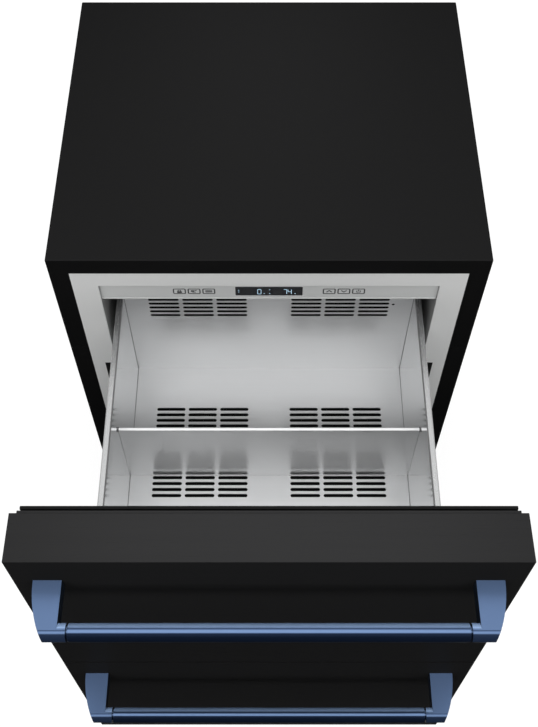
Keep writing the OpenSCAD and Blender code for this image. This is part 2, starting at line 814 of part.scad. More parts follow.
module slide_runners(z, slide_z) color(zinc) drawer(z) translate([0, 0, slide_z]) both_sides()
    channel(slide_t, runner_tip, runner_h, slide_y + gap, slide_l - 10);

module upper_slide_rails() slide_rails(upper_z + upper_slide_z);
module upper_slide_carriers() slide_carriers(upper_z + upper_slide_z);
module upper_slide_runners() slide_runners(upper_z, upper_slide_z);
module lower_slide_rails() slide_rails(lower_z + lower_slide_z);
module lower_slide_carriers() slide_carriers(lower_z + lower_slide_z);
module lower_slide_runners() slide_runners(lower_z, lower_slide_z);

// ---- Drawer fronts ----

screw_r = 2.5;
head_r = 4.5;
head_h = 3.5;
screw_l = 15;
screw_x = (arm_in + arm_out) / 2;
// Width of the return folded in behind the skin
fold_w = 14;
plate_inset = 8;

module handle_screw_holes(r, y0, y1)
    for (side = [-1, 1]) translate([side * screw_x, y0, bar_z]) rod_y(r, y1 - y0);

// Folded skin, open at the back, with a narrow return all round
module front_skin(z) color(brushed_black) drawer(z) difference() {
    half = front_w / 2;
    block([-half, half], [skin_face_y, skin_back_y], [0, front_h]);
    block([-half + skin_t, half - skin_t], [skin_face_y + skin_t, skin_back_y - skin_t],
        [skin_t, front_h - skin_t]);
    block([-half + fold_w, half - fold_w], [skin_back_y - skin_t - 1, skin_back_y + 1],
        [fold_w, front_h - fold_w]);
    handle_screw_holes(screw_r + shaft_gap, skin_face_y - 1, skin_face_y + skin_t + 1);
}

module front_core(z) color(foam) drawer(z) difference() {
    half = front_w / 2 - skin_t;
    union() {
        block([-half, half], [skin_face_y + skin_t, skin_back_y - skin_t], [skin_t, front_h - skin_t]);
        block([-half - skin_t + fold_w, half + skin_t - fold_w],
            [skin_back_y - skin_t, skin_back_y], [fold_w, front_h - fold_w]);
    }
    handle_screw_holes(head_r + 0.5, skin_face_y, skin_face_y + skin_t + head_h + 0.5);
}

module front_plate(z) color(rubber) drawer(z)
    block([plate_inset - front_w / 2, front_w / 2 - plate_inset], [skin_back_y, plate_y],
        [plate_inset, front_h - plate_inset]);

// A rectangular ring: inset from the gasket's outer edge, w wide, over the given depth
module gasket_ring(inset, w, y) {
    half = front_w / 2 - plate_inset - inset;
    low = gasket_inset + inset;
    difference() {
        block([-half, half], y, [low, front_h - low]);
        block([-half + w, half - w], [y[0] - 1, y[1] + 1], [low + w, front_h - low - w]);
    }
}

// Bellows foot and magnet bulb
module gasket(z) color([0.2, 0.2, 0.2]) drawer(z) {
    bulb = gasket_t * 0.35;
    neck = gasket_t * 0.7;
    gasket_ring(0, gasket_w, [-bulb, 0]);
    gasket_ring(4, gasket_w - 8, [-neck, -bulb]);
    gasket_ring(2, gasket_w - 4, [plate_y, -neck]);
}

// ---- Handles ----
spigot_r = 7;
spigot_l = 2;

module handle_bar(z) color(blue) drawer(z) translate([0, bar_y, bar_z]) {
    translate([-bar_l / 2, 0, 0]) rod_x(bar_r, bar_l);
    translate([-arm_in - spigot_l, 0, 0]) rod_x(spigot_r, 2 * (arm_in + spigot_l));
}

// Arm from the front to the bar: flat above and below, round at its tip, curved on its outer side
module bracket() difference() {
    union() {
        intersection() {
            translate([0, 0, bar_z - bar_r]) linear_extrude(height = 2 * bar_r) intersection() {
                translate([arm_in, bar_y - bar_r]) square([arm_w, bar_reach + bar_r]);
                translate([arm_out - arm_curve_r, skin_face_y]) circle(r = arm_curve_r, $fn = 240);
            }
            translate([arm_in - 1, 0, 0]) extrude_x(arm_w + 2) {
                translate([bar_y, bar_z]) circle(r = bar_r);
                translate([bar_y, bar_z - bar_r]) square([bar_reach, 2 * bar_r]);
            }
        }
        translate([collar_in, bar_y, bar_z]) rod_x(bar_r, arm_in - collar_in + 1);
    }
    translate([collar_in - 1, bar_y, bar_z])
        rod_x(spigot_r + shaft_gap, collar_l + 1 + spigot_l + shaft_gap);
    translate([screw_x, skin_face_y - screw_l - 1, bar_z]) rod_y(screw_r + shaft_gap, screw_l + 2);
}

module left_bracket(z) color(blue) drawer(z) mirror([1, 0, 0]) bracket();
module right_bracket(z) color(blue) drawer(z) bracket();

module handle_screws(z) color(steel) drawer(z) {
    handle_screw_holes(screw_r, skin_face_y - screw_l, skin_face_y + skin_t + 1);
    handle_screw_holes(head_r, skin_face_y + skin_t, skin_face_y + skin_t + head_h);
}

// ---- Drawer boxes ----

// Round hole near one end of a drawer's back wall
sensor_r = 2.25;
sensor_x = 29;
sensor_drop = 31;

// Floor, front and back folded from slotted sheet; a rise above 0 lifts the rear part of the floor
module drawer_tray(z, rise) color(steel) drawer(z) difference() {
    half = box_w / 2;
    inner = half - box_wall;
    floor_z = box_rise;
    floor_end = rise > 0 ? riser_y : box_l;
    union() {
        block([-half, half], [plate_y, floor_end + tray_t], [floor_z - tray_t, floor_z]);
        block([-inner, inner], [plate_y, plate_y + tray_t], [floor_z, rim_z - 2]);
        if (rise > 0) {
            block([-inner, inner], [riser_y, riser_y + tray_t], [floor_z, floor_z + rise]);
            block([-half, half], [riser_y, box_l + tray_t], [floor_z + rise - tray_t, floor_z + rise]);
        }
        block([-inner, inner], [box_l, box_l + tray_t], [floor_z + rise, rim_z - hem_r]);
        translate([-inner, box_l + tray_t / 2, rim_z - hem_r]) rod_x(hem_r, 2 * inner);
    }
    translate([0, front_slots_y, floor_z - tray_t - 1]) linear_extrude(height = tray_t + 2)
        slot_field();
    if (rise == 0) translate([0, rear_slots_y, floor_z - tray_t - 1])
        linear_extrude(height = tray_t + 2) slot_field();
    if (rise > 0) translate([0, raised_slots_y, floor_z + rise - tray_t - 1])
        linear_extrude(height = tray_t + 2) slot_field();
    translate([0, box_l + tray_t + 1, back_slots_z]) rotate([90, 0, 0])
        linear_extrude(height = tray_t + 2) slot_field(rise > 0 ? 3 : row_count);
    translate([inner - sensor_x, box_l - 1, rim_z - sensor_drop]) rod_y(sensor_r, tray_t + 2);
}

rim_h = 4;

// Outline of a drawer side, in y and z, taken in by g at its lower edge
module side_outline(rise, g = 0) {
    y0 = plate_y + g;
    y1 = box_l + tray_t - g;
    z1 = rim_z - rim_h + 1;
    if (rise > 0)
        polygon([[y0, box_rise + g], [riser_y - g, box_rise + g], [riser_y - g, box_rise + rise + g],
            [y1, box_rise + rise + g], [y1, z1], [y0, z1]]);
    else
        polygon([[y0, box_rise + g], [y1, box_rise + g], [y1, z1], [y0, z1]]);
}

// Double-walled sides with a rounded rim
module drawer_sides(z, rise) color(bright_steel) drawer(z) both_sides() {
    outer = box_w / 2;
    inner = outer - box_wall;
    wall = 1;
    difference() {
        translate([inner, 0, 0]) extrude_x(box_wall) side_outline(rise);
        translate([inner + wall, 0, 0]) extrude_x(box_wall - 2 * wall) side_outline(rise, wall);
    }
    translate([(inner + outer) / 2, box_l + tray_t, rim_z - rim_h / 2]) rotate([90, 0, 0])
        linear_extrude(height = box_l + tray_t - plate_y) round_plate(box_wall, rim_h, 1.5);
}

cap_h = 4;

// Divider with a flange forward along its top and a folded foot, standing on the drawer's floor
module divider(z) color(steel) drawer(z) {
    half = box_w / 2 - box_wall - gap;
    foot_t = 1.2;
    foot_l = 12;
    foot_z = box_rise + gap;
    top_z = box_rise + divider_h;
    back = divider_y + cap_w / 2;
    translate([-half, divider_y, top_z - cap_h / 2]) extrude_x(2 * half) round_plate(cap_w, cap_h, 1.5);
    block([-half, half], [back - divider_t, back], [foot_z, top_z - cap_h / 2]);
    block([-half, half], [back - divider_t, back + foot_l], [foot_z, foot_z + foot_t]);
}

module upper_front_skin() front_skin(upper_z);
module upper_front_core() front_core(upper_z);
module upper_front_plate() front_plate(upper_z);
module upper_gasket() gasket(upper_z);
module upper_handle_bar() handle_bar(upper_z);
module upper_left_bracket() left_bracket(upper_z);
module upper_right_bracket() right_bracket(upper_z);
module upper_handle_screws() handle_screws(upper_z);
module upper_drawer_tray() drawer_tray(upper_z, 0);
module upper_drawer_sides() drawer_sides(upper_z, 0);
module upper_divider() divider(upper_z);

module lower_front_skin() front_skin(lower_z);
module lower_front_core() front_core(lower_z);
module lower_front_plate() front_plate(lower_z);
module lower_gasket() gasket(lower_z);
module lower_handle_bar() handle_bar(lower_z);
module lower_left_bracket() left_bracket(lower_z);
module lower_right_bracket() right_bracket(lower_z);
module lower_handle_screws() handle_screws(lower_z);
module lower_drawer_tray() drawer_tray(lower_z, rear_rise);
module lower_drawer_sides() drawer_sides(lower_z, rear_rise);
module lower_divider() divider(lower_z);

case_wrapper();
back_panel();
machine_cover();
base_pan();
toe_grille();
step_panel();
insulation();
inner_liner();
control_strip();
display_window();
touch_keys();
control_board();
light_bars();
upper_air_cover();
lower_air_cover();
evaporator_coil();
cold_fan_frame();
cold_fan();
compressor();
compressor_mounts();
condenser_coil();
warm_fan_frame();
warm_fan();
evaporation_tray();
drain_tube();
refrigerant_lines();
power_inlet();
case_screws();
front_left_foot();
front_right_foot();
rear_left_foot();
rear_right_foot();
upper_slide_rails();
upper_slide_carriers();
upper_slide_runners();
lower_slide_rails();
lower_slide_carriers();
lower_slide_runners();
upper_front_skin();
upper_front_core();
upper_front_plate();
upper_gasket();
upper_handle_bar();
upper_left_bracket();
upper_right_bracket();
upper_handle_screws();
upper_drawer_tray();
upper_drawer_sides();
upper_divider();
lower_front_skin();
lower_front_core();
lower_front_plate();
lower_gasket();
lower_handle_bar();
lower_left_bracket();
lower_right_bracket();
lower_handle_screws();
lower_drawer_tray();
lower_drawer_sides();
lower_divider();
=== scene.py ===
"""Looks of an undercounter refrigerator with two insulated drawers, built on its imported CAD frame."""

import json
import math

import bmesh
import bpy
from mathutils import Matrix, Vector

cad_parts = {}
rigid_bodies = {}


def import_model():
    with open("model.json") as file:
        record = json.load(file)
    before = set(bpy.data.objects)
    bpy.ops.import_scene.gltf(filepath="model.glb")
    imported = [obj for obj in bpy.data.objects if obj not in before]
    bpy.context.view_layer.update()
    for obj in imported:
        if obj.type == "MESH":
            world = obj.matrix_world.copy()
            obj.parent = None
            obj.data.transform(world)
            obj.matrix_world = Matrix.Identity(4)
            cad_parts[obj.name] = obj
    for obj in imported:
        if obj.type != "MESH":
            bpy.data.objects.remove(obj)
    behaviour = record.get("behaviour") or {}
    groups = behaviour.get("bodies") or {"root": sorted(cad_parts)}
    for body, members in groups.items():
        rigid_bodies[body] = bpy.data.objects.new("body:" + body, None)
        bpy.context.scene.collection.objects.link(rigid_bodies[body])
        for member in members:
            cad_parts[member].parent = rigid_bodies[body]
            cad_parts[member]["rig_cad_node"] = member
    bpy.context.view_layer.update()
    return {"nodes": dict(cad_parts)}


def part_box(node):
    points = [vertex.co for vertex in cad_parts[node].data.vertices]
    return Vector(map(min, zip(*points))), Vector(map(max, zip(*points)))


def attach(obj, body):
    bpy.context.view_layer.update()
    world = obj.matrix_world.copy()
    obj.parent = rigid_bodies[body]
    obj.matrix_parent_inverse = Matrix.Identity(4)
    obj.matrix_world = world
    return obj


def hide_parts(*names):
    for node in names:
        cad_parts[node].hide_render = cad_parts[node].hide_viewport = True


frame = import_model()

bl_info = {
    "name": "Undercounter refrigerator looks",
    "version": (1, 0, 0),
    "blender": (4, 5, 0),
    "location": "3D View > Sidebar > Refrigerator",
    "description": "Finishes the packed frame of a refrigerator with two drawers and sets up its studio",
    "category": "Object",
}

MM = 0.001
FACE_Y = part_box("case_wrapper")[0].y  # the cabinet's front plane
DRAWERS = ("upper", "lower")
DUST = (0.35, 0.34, 0.32)  # colour of settled dust
WHITE = (1, 1, 1, 1)
GRAIN_HEIGHT = 0.2 * MM  # of the bumps of paint and moulded plastic
SCRATCH = 0.15 * MM  # depth of a brushed scratch
SKIN_T = 1.2 * MM  # sheet of the drawer fronts
RETURN_W = 14 * MM  # what a front's sheet turns inwards at the back
TRAY_T = 1.4 * MM  # sheet of the drawer boxes
FOLD_OUT = 2.0 * MM  # how far the tray's top fold stands out behind its back wall
COLLAR_GAP = 2.3 * MM  # the groove between a bar and its bracket
SPIGOT_R = 7 * MM  # radius of the bar's ends inside the brackets
RISER_Y = 45.5 * MM  # from the divider's front to where the lower tray steps up
RISE = {"upper": 0.0, "lower": 143 * MM}  # how far the rear floor stands above the front floor


# ---- What a user can change ----


def length_property(name, description, default, low, high):
    return bpy.props.FloatProperty(
        name=name, description=description, default=default * MM, min=low * MM, max=high * MM, unit="LENGTH",
        precision=4)


class RefrigeratorSizes(bpy.types.PropertyGroup):
    """Small radii and widths that the frame leaves to the looks."""

    case_fold: length_property("Case fold", "Outside radius of the folds of the painted case", 1.6, 0.3, 4)
    front_fold: length_property("Front fold", "Outside radius of the folds of the drawer fronts", 0.7, 0.3, 4)
    bracket_edge: length_property("Bracket edge", "Width of the brackets' softened edges", 0.9, 0.2, 3)
    liner_edge: length_property("Liner edge", "Radius where the liner turns into a compartment", 0.8, 0.3, 6)
    shown_temperature: bpy.props.IntProperty(
        name="Temperature", description="Two digits that the right half of the display shows",
        default=74, min=0, max=99)
    shown_setting: bpy.props.IntProperty(
        name="Setting", description="Digit that the left half of the display shows",
        default=0, min=0, max=9)


def colour_property(name, description, default):
    return bpy.props.FloatVectorProperty(
        name=name, description=description, default=default, subtype="COLOR", size=3, min=0, max=1)


class RefrigeratorColours(bpy.types.PropertyGroup):
    """Base colours of the finishes, in scene-linear values."""

    case_black: colour_property("Case", "Black steel of the case", (0.0148, 0.0148, 0.0150))
    front_black: colour_property("Fronts", "Brushed black steel of the drawer fronts", (0.0265, 0.0265, 0.027))
    handle_blue: colour_property("Handles", "Anodised blue of the bars and brackets", (0.119, 0.174, 0.276))
    steel: colour_property("Steel", "Brushed stainless steel of the drawer boxes", (0.72, 0.725, 0.73))
    polished: colour_property("Polished steel", "Polished stainless steel of sides and rims", (0.75, 0.757, 0.762))
    liner_grey: colour_property("Liner", "Moulded liner of the compartments", (0.66, 0.665, 0.66))
    strip_grey: colour_property("Control strip", "Housing of the controls", (0.575, 0.585, 0.58))
    digit_blue: colour_property("Digits", "Lit segments of the display", (0.56, 0.82, 1.0))
    rubber_black: colour_property("Rubber", "Gaskets and feet", (0.010, 0.010, 0.010))
    zinc_grey: colour_property("Zinc", "Galvanised panels and slides", (0.42, 0.43, 0.44))


def sizes():
    return bpy.context.scene.refrigerator_sizes


def colours():
    return bpy.context.scene.refrigerator_colours


# ---- Modelling helpers ----


def clear_selection():
    if bpy.context.object and bpy.context.object.mode != "OBJECT":
        bpy.ops.object.mode_set(mode="OBJECT")
    bpy.ops.object.select_all(action="DESELECT")


def activate(piece):
    clear_selection()
    piece.select_set(True)
    bpy.context.view_layer.objects.active = piece


def named(piece, name):
    piece.name = name
    piece.data.name = name
    return piece


def settle(piece):
    """Puts the piece's place into its mesh."""
    activate(piece)
    bpy.ops.object.transform_apply(location=True, rotation=True, scale=True)
    return piece


def block(name, low, high):
    """A cube that fills the box between two corners."""
    clear_selection()
    low, high = Vector(low), Vector(high)
    bpy.ops.mesh.primitive_cube_add(size=1, location=(low + high) / 2, scale=high - low)
    return settle(named(bpy.context.object, name))


def plane(name, place, size, turn=(0, 0, 0)):
    """A flat rectangle."""
    clear_selection()
    bpy.ops.mesh.primitive_plane_add(size=1, location=place, rotation=turn)
    piece = named(bpy.context.object, name)
    piece.scale = (*size, 1)
    return settle(piece)


def rod(name, start, end, radius, sides=48):
    """A cylinder from one point to another."""
    clear_selection()
    start, end = Vector(start), Vector(end)
    turn = (end - start).to_track_quat("Z", "Y").to_euler()
    bpy.ops.mesh.primitive_cylinder_add(
        vertices=sides, radius=radius, depth=(end - start).length, location=(start + end) / 2, rotation=turn)
    return settle(named(bpy.context.object, name))


def open_edit(piece, mode="EDGE"):
    activate(piece)
    bpy.ops.object.mode_set(mode="EDIT")
    bpy.ops.mesh.select_mode(type=mode)
    bpy.ops.mesh.select_all(action="DESELECT")
    return bmesh.from_edit_mesh(piece.data)


def pick(piece, what, test):
    """Selects the faces, edges or vertices that pass the test, and nothing else."""
    mesh = bmesh.from_edit_mesh(piece.data)
    for part in (*mesh.faces, *mesh.edges, *mesh.verts):
        part.select_set(False)
    found = [part for part in getattr(mesh, what) if test(part)]
    for part in found:
        part.select_set(True)
    bmesh.update_edit_mesh(piece.data)
    return len(found)


def close_edit():
    bpy.ops.object.mode_set(mode="OBJECT")


def node_copy(name, node, flat=0.5):
    """A CAD node's shape as a clean mesh that can be worked further."""
    clear_selection()
    piece = bpy.data.objects.new(name, frame["nodes"][node].data.copy())
    piece.data.name = name
    bpy.context.scene.collection.objects.link(piece)
    activate(piece)
    bpy.ops.mesh.customdata_custom_splitnormals_clear()
    open_edit(piece, "VERT")
    bpy.ops.mesh.select_all(action="SELECT")
    bpy.ops.mesh.remove_doubles(threshold=2e-6)
    bpy.ops.mesh.dissolve_limited(angle_limit=math.radians(flat))
    close_edit()
    piece.data.materials.clear()
    return piece


def modify(piece, kind, **settings):
    """Applies one modifier with these settings."""
    activate(piece)
    step = piece.modifiers.new(kind, kind)
    for key, value in settings.items():
        setattr(step, key, value)
    bpy.ops.object.modifier_apply(modifier=step.name)
    return piece


def flatten_shading(piece, angle=35):
    """Shades the rounded edges smoothly, and keeps the large faces flat."""
    activate(piece)
    bpy.ops.object.shade_smooth_by_angle(angle=math.radians(angle), keep_sharp_edges=False)
    return modify(piece, "WEIGHTED_NORMAL", mode="FACE_AREA", weight=100, keep_sharp=True)


def soften(piece, width, segments=3, angle=35):
    """Rounds the edges that are sharper than an angle, and shades the piece smoothly."""
    modify(piece, "BEVEL", width=width, segments=segments, limit_method="ANGLE", angle_limit=math.radians(angle),
           harden_normals=False)
    return flatten_shading(piece)


def thicken(piece, thickness, offset=-1):
    return modify(piece, "SOLIDIFY", thickness=thickness, offset=offset, use_even_offset=True)


def join(pieces, name):
    clear_selection()
    for piece in pieces:
        piece.select_set(True)
    bpy.context.view_layer.objects.active = pieces[0]
    if len(pieces) > 1:
        bpy.ops.object.join()
    return named(pieces[0], name)


def same(a, b, by=2e-5):
    return abs(a - b) < by


def at_ends(vert, low, high):
    """Which sides of a box a vertex lies on."""
    return tuple(
        -1 if same(vert.co[i], low[i]) else 1 if same(vert.co[i], high[i]) else 0 for i in range(3))


def finish(piece, material, body=None, nodes=()):
    """Gives a piece its material and its body, and hides the CAD nodes that it stands in for."""
    piece.data.materials.clear()
    piece.data.materials.append(material)
    if body:
        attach(piece, body)
    if nodes:
        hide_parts(*nodes)
    return piece


def dress(node, material):
    """A new material for a CAD node whose shape stays."""
    data = frame["nodes"][node].data
    for i in range(len(data.materials)):
        data.materials[i] = material
    if not data.materials:
        data.materials.append(material)


def worked_copy(name, node, material, body, width, segments=3, angle=35):
    """A CAD node's shape with softened edges, in the node's place."""
    piece = soften(node_copy(name, node), width, segments, angle)
    return finish(piece, look(material), body, [node])


def folded_copy(name, node, slot, radius, test):
    """A CAD node's shape with the edges that pass the test rounded, in the node's place on the cabinet."""
    piece = node_copy(name, node)
    open_edit(piece)
    if not pick(piece, "edges", test):
        raise RuntimeError(f"{node} has no edges to round")
    bpy.ops.mesh.bevel(offset=radius, segments=4, affect="EDGES", clamp_overlap=True)
    close_edit()
    return finish(flatten_shading(piece), look(slot), "cabinet", [node])


# ---- Shader groups ----


def new_group(name, inputs, outputs):
    group = bpy.data.node_groups.new(name, "ShaderNodeTree")
    kinds = {"value": "NodeSocketFloat", "vector": "NodeSocketVector", "colour": "NodeSocketColor"}
    for label, kind, default in inputs:
        socket = group.interface.new_socket(name=label, in_out="INPUT", socket_type=kinds[kind])
        if default is not None:
            socket.default_value = default
    for label, kind in outputs:
        group.interface.new_socket(name=label, in_out="OUTPUT", socket_type=kinds[kind])
    start = group.nodes.new("NodeGroupInput")
    end = group.nodes.new("NodeGroupOutput")
    start.location, end.location = (-900, 0), (500, 0)
    return group, start, end


def add_node(tree, kind, x, y, **settings):
    node = tree.nodes.new(kind)
    node.location = (x, y)
    for key, value in settings.items():
        setattr(node, key, value)
    return node


def filled(tree, kind, x, y, **values):
    """A node with plain numbers on its sockets."""
    node = add_node(tree, kind, x, y)
    for socket, value in values.items():
        node.inputs[socket].default_value = value
    return node


def wire(tree, source, target):
    tree.links.new(source, target)


def empty_tree(owner, output):
    """The cleared shader of a material or world, with its output."""
    owner.use_nodes = True
    tree = owner.node_tree
    tree.nodes.clear()
    return tree, add_node(tree, output, 700, 0)


def maths(tree, operation, x, y, first, second=None, third=None, clamp=False):
    node = add_node(tree, "ShaderNodeMath", x, y, operation=operation, use_clamp=clamp)
    for i, value in enumerate((first, second, third)):
        if value is None:
            continue
        if isinstance(value, (int, float)):
            node.inputs[i].default_value = value
        else:
            wire(tree, value, node.inputs[i])
    return node.outputs[0]


def object_point(tree, x, y):
    return add_node(tree, "ShaderNodeTexCoord", x, y).outputs["Object"]


def parts(tree, vector, x, y):
    split = add_node(tree, "ShaderNodeSeparateXYZ", x, y)
    wire(tree, vector, split.inputs[0])
    return split.outputs


def normal_parts(tree, x, y):
    shape = add_node(tree, "ShaderNodeNewGeometry", x - 200, y)
    return parts(tree, shape.outputs["Normal"], x, y)


def noise(tree, point, scale, x, y, detail=2.0, rough=0.5):
    node = filled(tree, "ShaderNodeTexNoise", x, y, Detail=detail, Roughness=rough)
    wire(tree, point, node.inputs["Vector"])
    wire(tree, scale, node.inputs["Scale"])
    return node.outputs["Fac"]


def brushed_grain_group():
    """Long scratches along one direction: a fine grain for roughness and bump, and broad soft streaks."""
    group, start, end = new_group(
        "Brushed grain",
        [("Stretch", "vector", (1, 40, 40)), ("Fineness", "value", 60.0), ("Streaks", "value", 0.5)],
        [("Grain", "value"), ("Streak", "value")])
    fit = add_node(group, "ShaderNodeVectorMath", -700, -100, operation="MULTIPLY")
    wire(group, object_point(group, -900, -250), fit.inputs[0])
    wire(group, start.outputs["Stretch"], fit.inputs[1])
    fine = noise(group, fit.outputs[0], start.outputs["Fineness"], -480, 60, detail=4, rough=0.65)
    coarse = maths(group, "MULTIPLY", -640, -300, start.outputs["Fineness"], 0.12)
    broad = noise(group, fit.outputs[0], coarse, -480, -260)
    centred = maths(group, "SUBTRACT", -260, -260, broad, 0.5)
    streak = maths(group, "MULTIPLY_ADD", -80, -260, centred, start.outputs["Streaks"], 0.5, clamp=True)
    wire(group, fine, end.inputs["Grain"])
    wire(group, streak, end.inputs["Streak"])
    return group


def speckle_group():
    """The even small bumps of powder coat or moulded plastic, with slow patches of tone."""
    group, start, end = new_group(
        "Fine speckle",
        [("Size", "value", 900.0), ("Patch size", "value", 6.0)],
        [("Bumps", "value"), ("Patches", "value")])
    point = object_point(group, -900, -250)
    wire(group, noise(group, point, start.outputs["Size"], -500, 80), end.inputs["Bumps"])
    wire(group, noise(group, point, start.outputs["Patch size"], -500, -200, detail=3), end.inputs["Patches"])
    return group


def edge_wear_group():
    """A mask of the outer edges, broken up by noise."""
    group, start, end = new_group(
        "Edge wear", [("Reach", "value", 0.04), ("Break up", "value", 120.0)], [("Mask", "value")])
    shape = add_node(group, "ShaderNodeNewGeometry", -900, 200)
    gaps = noise(group, object_point(group, -900, -250), start.outputs["Break up"], -600, -160)
    edge = maths(group, "SUBTRACT", -620, 160, shape.outputs["Pointiness"], 0.5)
    edge = maths(group, "DIVIDE", -440, 160, edge, start.outputs["Reach"], clamp=True)
    broken = maths(group, "MULTIPLY", -260, 0, edge, gaps)
    wire(group, maths(group, "MULTIPLY", -80, 0, broken, 1.6, clamp=True), end.inputs["Mask"])
    return group


def dust_group():
    """A thin film that settles on faces that look up."""
    group, start, end = new_group(
        "Settled dust", [("Amount", "value", 0.1), ("Patch size", "value", 9.0)], [("Mask", "value")])
    patches = noise(group, object_point(group, -900, -250), start.outputs["Patch size"], -600, -160, detail=6)
    up = maths(group, "MULTIPLY_ADD", -520, 200, normal_parts(group, -700, 200)["Z"], 2.0, -1.0, clamp=True)
    film = maths(group, "MULTIPLY", -300, 60, up, patches)
    wire(group, maths(group, "MULTIPLY", -100, 60, film, start.outputs["Amount"], clamp=True), end.inputs["Mask"])
    return group


def facing_group():
    """How a surface is turned, which sets painted highlights and shade: tilt to the front (0) or back (1), and a mask
    of the upright side faces.
    """
    group, _, end = new_group("Facing", [], [("Tilt", "value"), ("Upright", "value")])
    normal = normal_parts(group, -700, 0)
    wire(group, maths(group, "MULTIPLY_ADD", -400, 100, normal["Y"], 0.5, 0.5), end.inputs["Tilt"])
    sideways = maths(group, "ABSOLUTE", -400, -100, normal["X"])
    wire(group, maths(group, "MULTIPLY_ADD", -200, -100, sideways, 3.0, -1.5, clamp=True), end.inputs["Upright"])
    return group


def depth_shade_group():
    """A mask of painted shade that grows from 0 to 1 over a length behind a plane across the depth."""
    group, start, end = new_group(
        "Depth shade", [("Start", "value", 0.0), ("Length", "value", 0.01)], [("Mask", "value")])
    depth = parts(group, object_point(group, -900, 0), -700, 0)["Y"]
    gone = maths(group, "SUBTRACT", -500, 0, depth, start.outputs["Start"])
    wire(group, maths(group, "DIVIDE", -300, 0, gone, start.outputs["Length"], clamp=True), end.inputs["Mask"])
    return group


GROUPS = {}


def shader_group(name):
    makers = {
        "Brushed grain": brushed_grain_group, "Fine speckle": speckle_group, "Edge wear": edge_wear_group,
        "Settled dust": dust_group, "Depth shade": depth_shade_group, "Facing": facing_group}
    if name not in GROUPS:
        GROUPS[name] = makers[name]()
    return GROUPS[name]


# ---- Materials ----

MATERIALS = {}


def open_material(name, **constants):
    """A material with a Principled shader whose plain numbers are set on its own sockets."""
    material = bpy.data.materials.new(name)
    tree, output = empty_tree(material, "ShaderNodeOutputMaterial")
    shader = filled(tree, "ShaderNodeBsdfPrincipled", 300, 0, **constants)
    wire(tree, shader.outputs["BSDF"], output.inputs["Surface"])
    return material, tree, shader


def place_group(tree, name, x, y, **inputs):
    node = add_node(tree, "ShaderNodeGroup", x, y)
    node.node_tree = shader_group(name)
    for label, value in inputs.items():
        node.inputs[label.replace("_", " ")].default_value = value
    return node


def fade(tree, x, y, mask, low, high):
    """Turns a mask of 0 to 1 into values between low and high."""
    node = filled(tree, "ShaderNodeMapRange", x, y, **{"To Min": low, "To Max": high})
    wire(tree, mask, node.inputs["Value"])
    return node.outputs["Result"]


def blend(tree, x, y, mask, first, second):
    """Mixes two colours by a mask. A colour is a socket or three numbers."""
    node = add_node(tree, "ShaderNodeMix", x, y, data_type="RGBA")
    wire(tree, mask, node.inputs["Factor"])
    for socket, value in ((node.inputs[6], first), (node.inputs[7], second)):
        if isinstance(value, bpy.types.NodeSocket):
            wire(tree, value, socket)
        else:
            socket.default_value = (*value, 1)
    return node.outputs[2]


def bump(tree, x, y, height, strength, distance=GRAIN_HEIGHT):
    node = filled(tree, "ShaderNodeBump", x, y, Strength=strength, Distance=distance)
    wire(tree, height, node.inputs["Height"])
    return node.outputs["Normal"]


def grey(tone):
    return tone, tone, tone


def roughen(tree, shader, mask, low, high):
    wire(tree, fade(tree, -350, -100, mask, low, high), shader.inputs["Roughness"])


def scaled(colour, factor):
    return tuple(min(1.0, c * factor) for c in colour)


def painted(name, colour, rough, size=1100.0, contrast=0.10, shine=0.5, relief=0.08, dust=0.0, wear=0.0):
    """Powder coat or moulded plastic."""
    material, tree, shader = open_material(name, **{"Specular IOR Level": shine})
    speckle = place_group(tree, "Fine speckle", -700, 0, Size=size, Patch_size=5.0)
    tone = blend(
        tree, -350, 200, speckle.outputs["Patches"], scaled(colour, 1 - contrast), scaled(colour, 1 + contrast))
    if dust:
        film = place_group(tree, "Settled dust", -700, -250, Amount=dust)
        tone = blend(tree, -150, 200, film.outputs["Mask"], tone, DUST)
    if wear:
        worn = place_group(tree, "Edge wear", -700, -450)
        weak = maths(tree, "MULTIPLY", -350, -450, worn.outputs["Mask"], wear)
        tone = blend(tree, 50, 250, weak, tone, scaled(colour, 3.0))
    wire(tree, tone, shader.inputs["Base Color"])
    roughen(tree, shader, speckle.outputs["Bumps"], rough - 0.05, rough + 0.06)
    wire(tree, bump(tree, 50, -250, speckle.outputs["Bumps"], relief), shader.inputs["Normal"])
    return material


def brushed(name, colour, rough, stretch, fineness=60.0, contrast=0.08, metallic=1.0, relief=0.06, swing=0.08,
            shine=0.5, tint=1.0):
    """Brushed or rolled metal, with its grain along the axis where stretch is smallest."""
    material, tree, shader = open_material(
        name, Metallic=metallic, **{"Specular IOR Level": shine, "Specular Tint": (tint, tint, tint, 1)})
    grain = place_group(tree, "Brushed grain", -700, 0, Stretch=stretch, Fineness=fineness, Streaks=0.7)
    dark, light = scaled(colour, 1 - contrast), scaled(colour, 1 + contrast)
    both = add_node(tree, "ShaderNodeMix", -100, 300, data_type="RGBA")
    both.inputs["Factor"].default_value = 0.4
    wire(tree, blend(tree, -350, 200, grain.outputs["Streak"], dark, light), both.inputs[6])
    wire(tree, blend(tree, -350, 380, grain.outputs["Grain"], dark, light), both.inputs[7])
    wire(tree, both.outputs[2], shader.inputs["Base Color"])
    roughen(tree, shader, grain.outputs["Grain"], rough - swing, rough + swing)
    wire(tree, bump(tree, 50, -250, grain.outputs["Grain"], relief, SCRATCH), shader.inputs["Normal"])
    return material


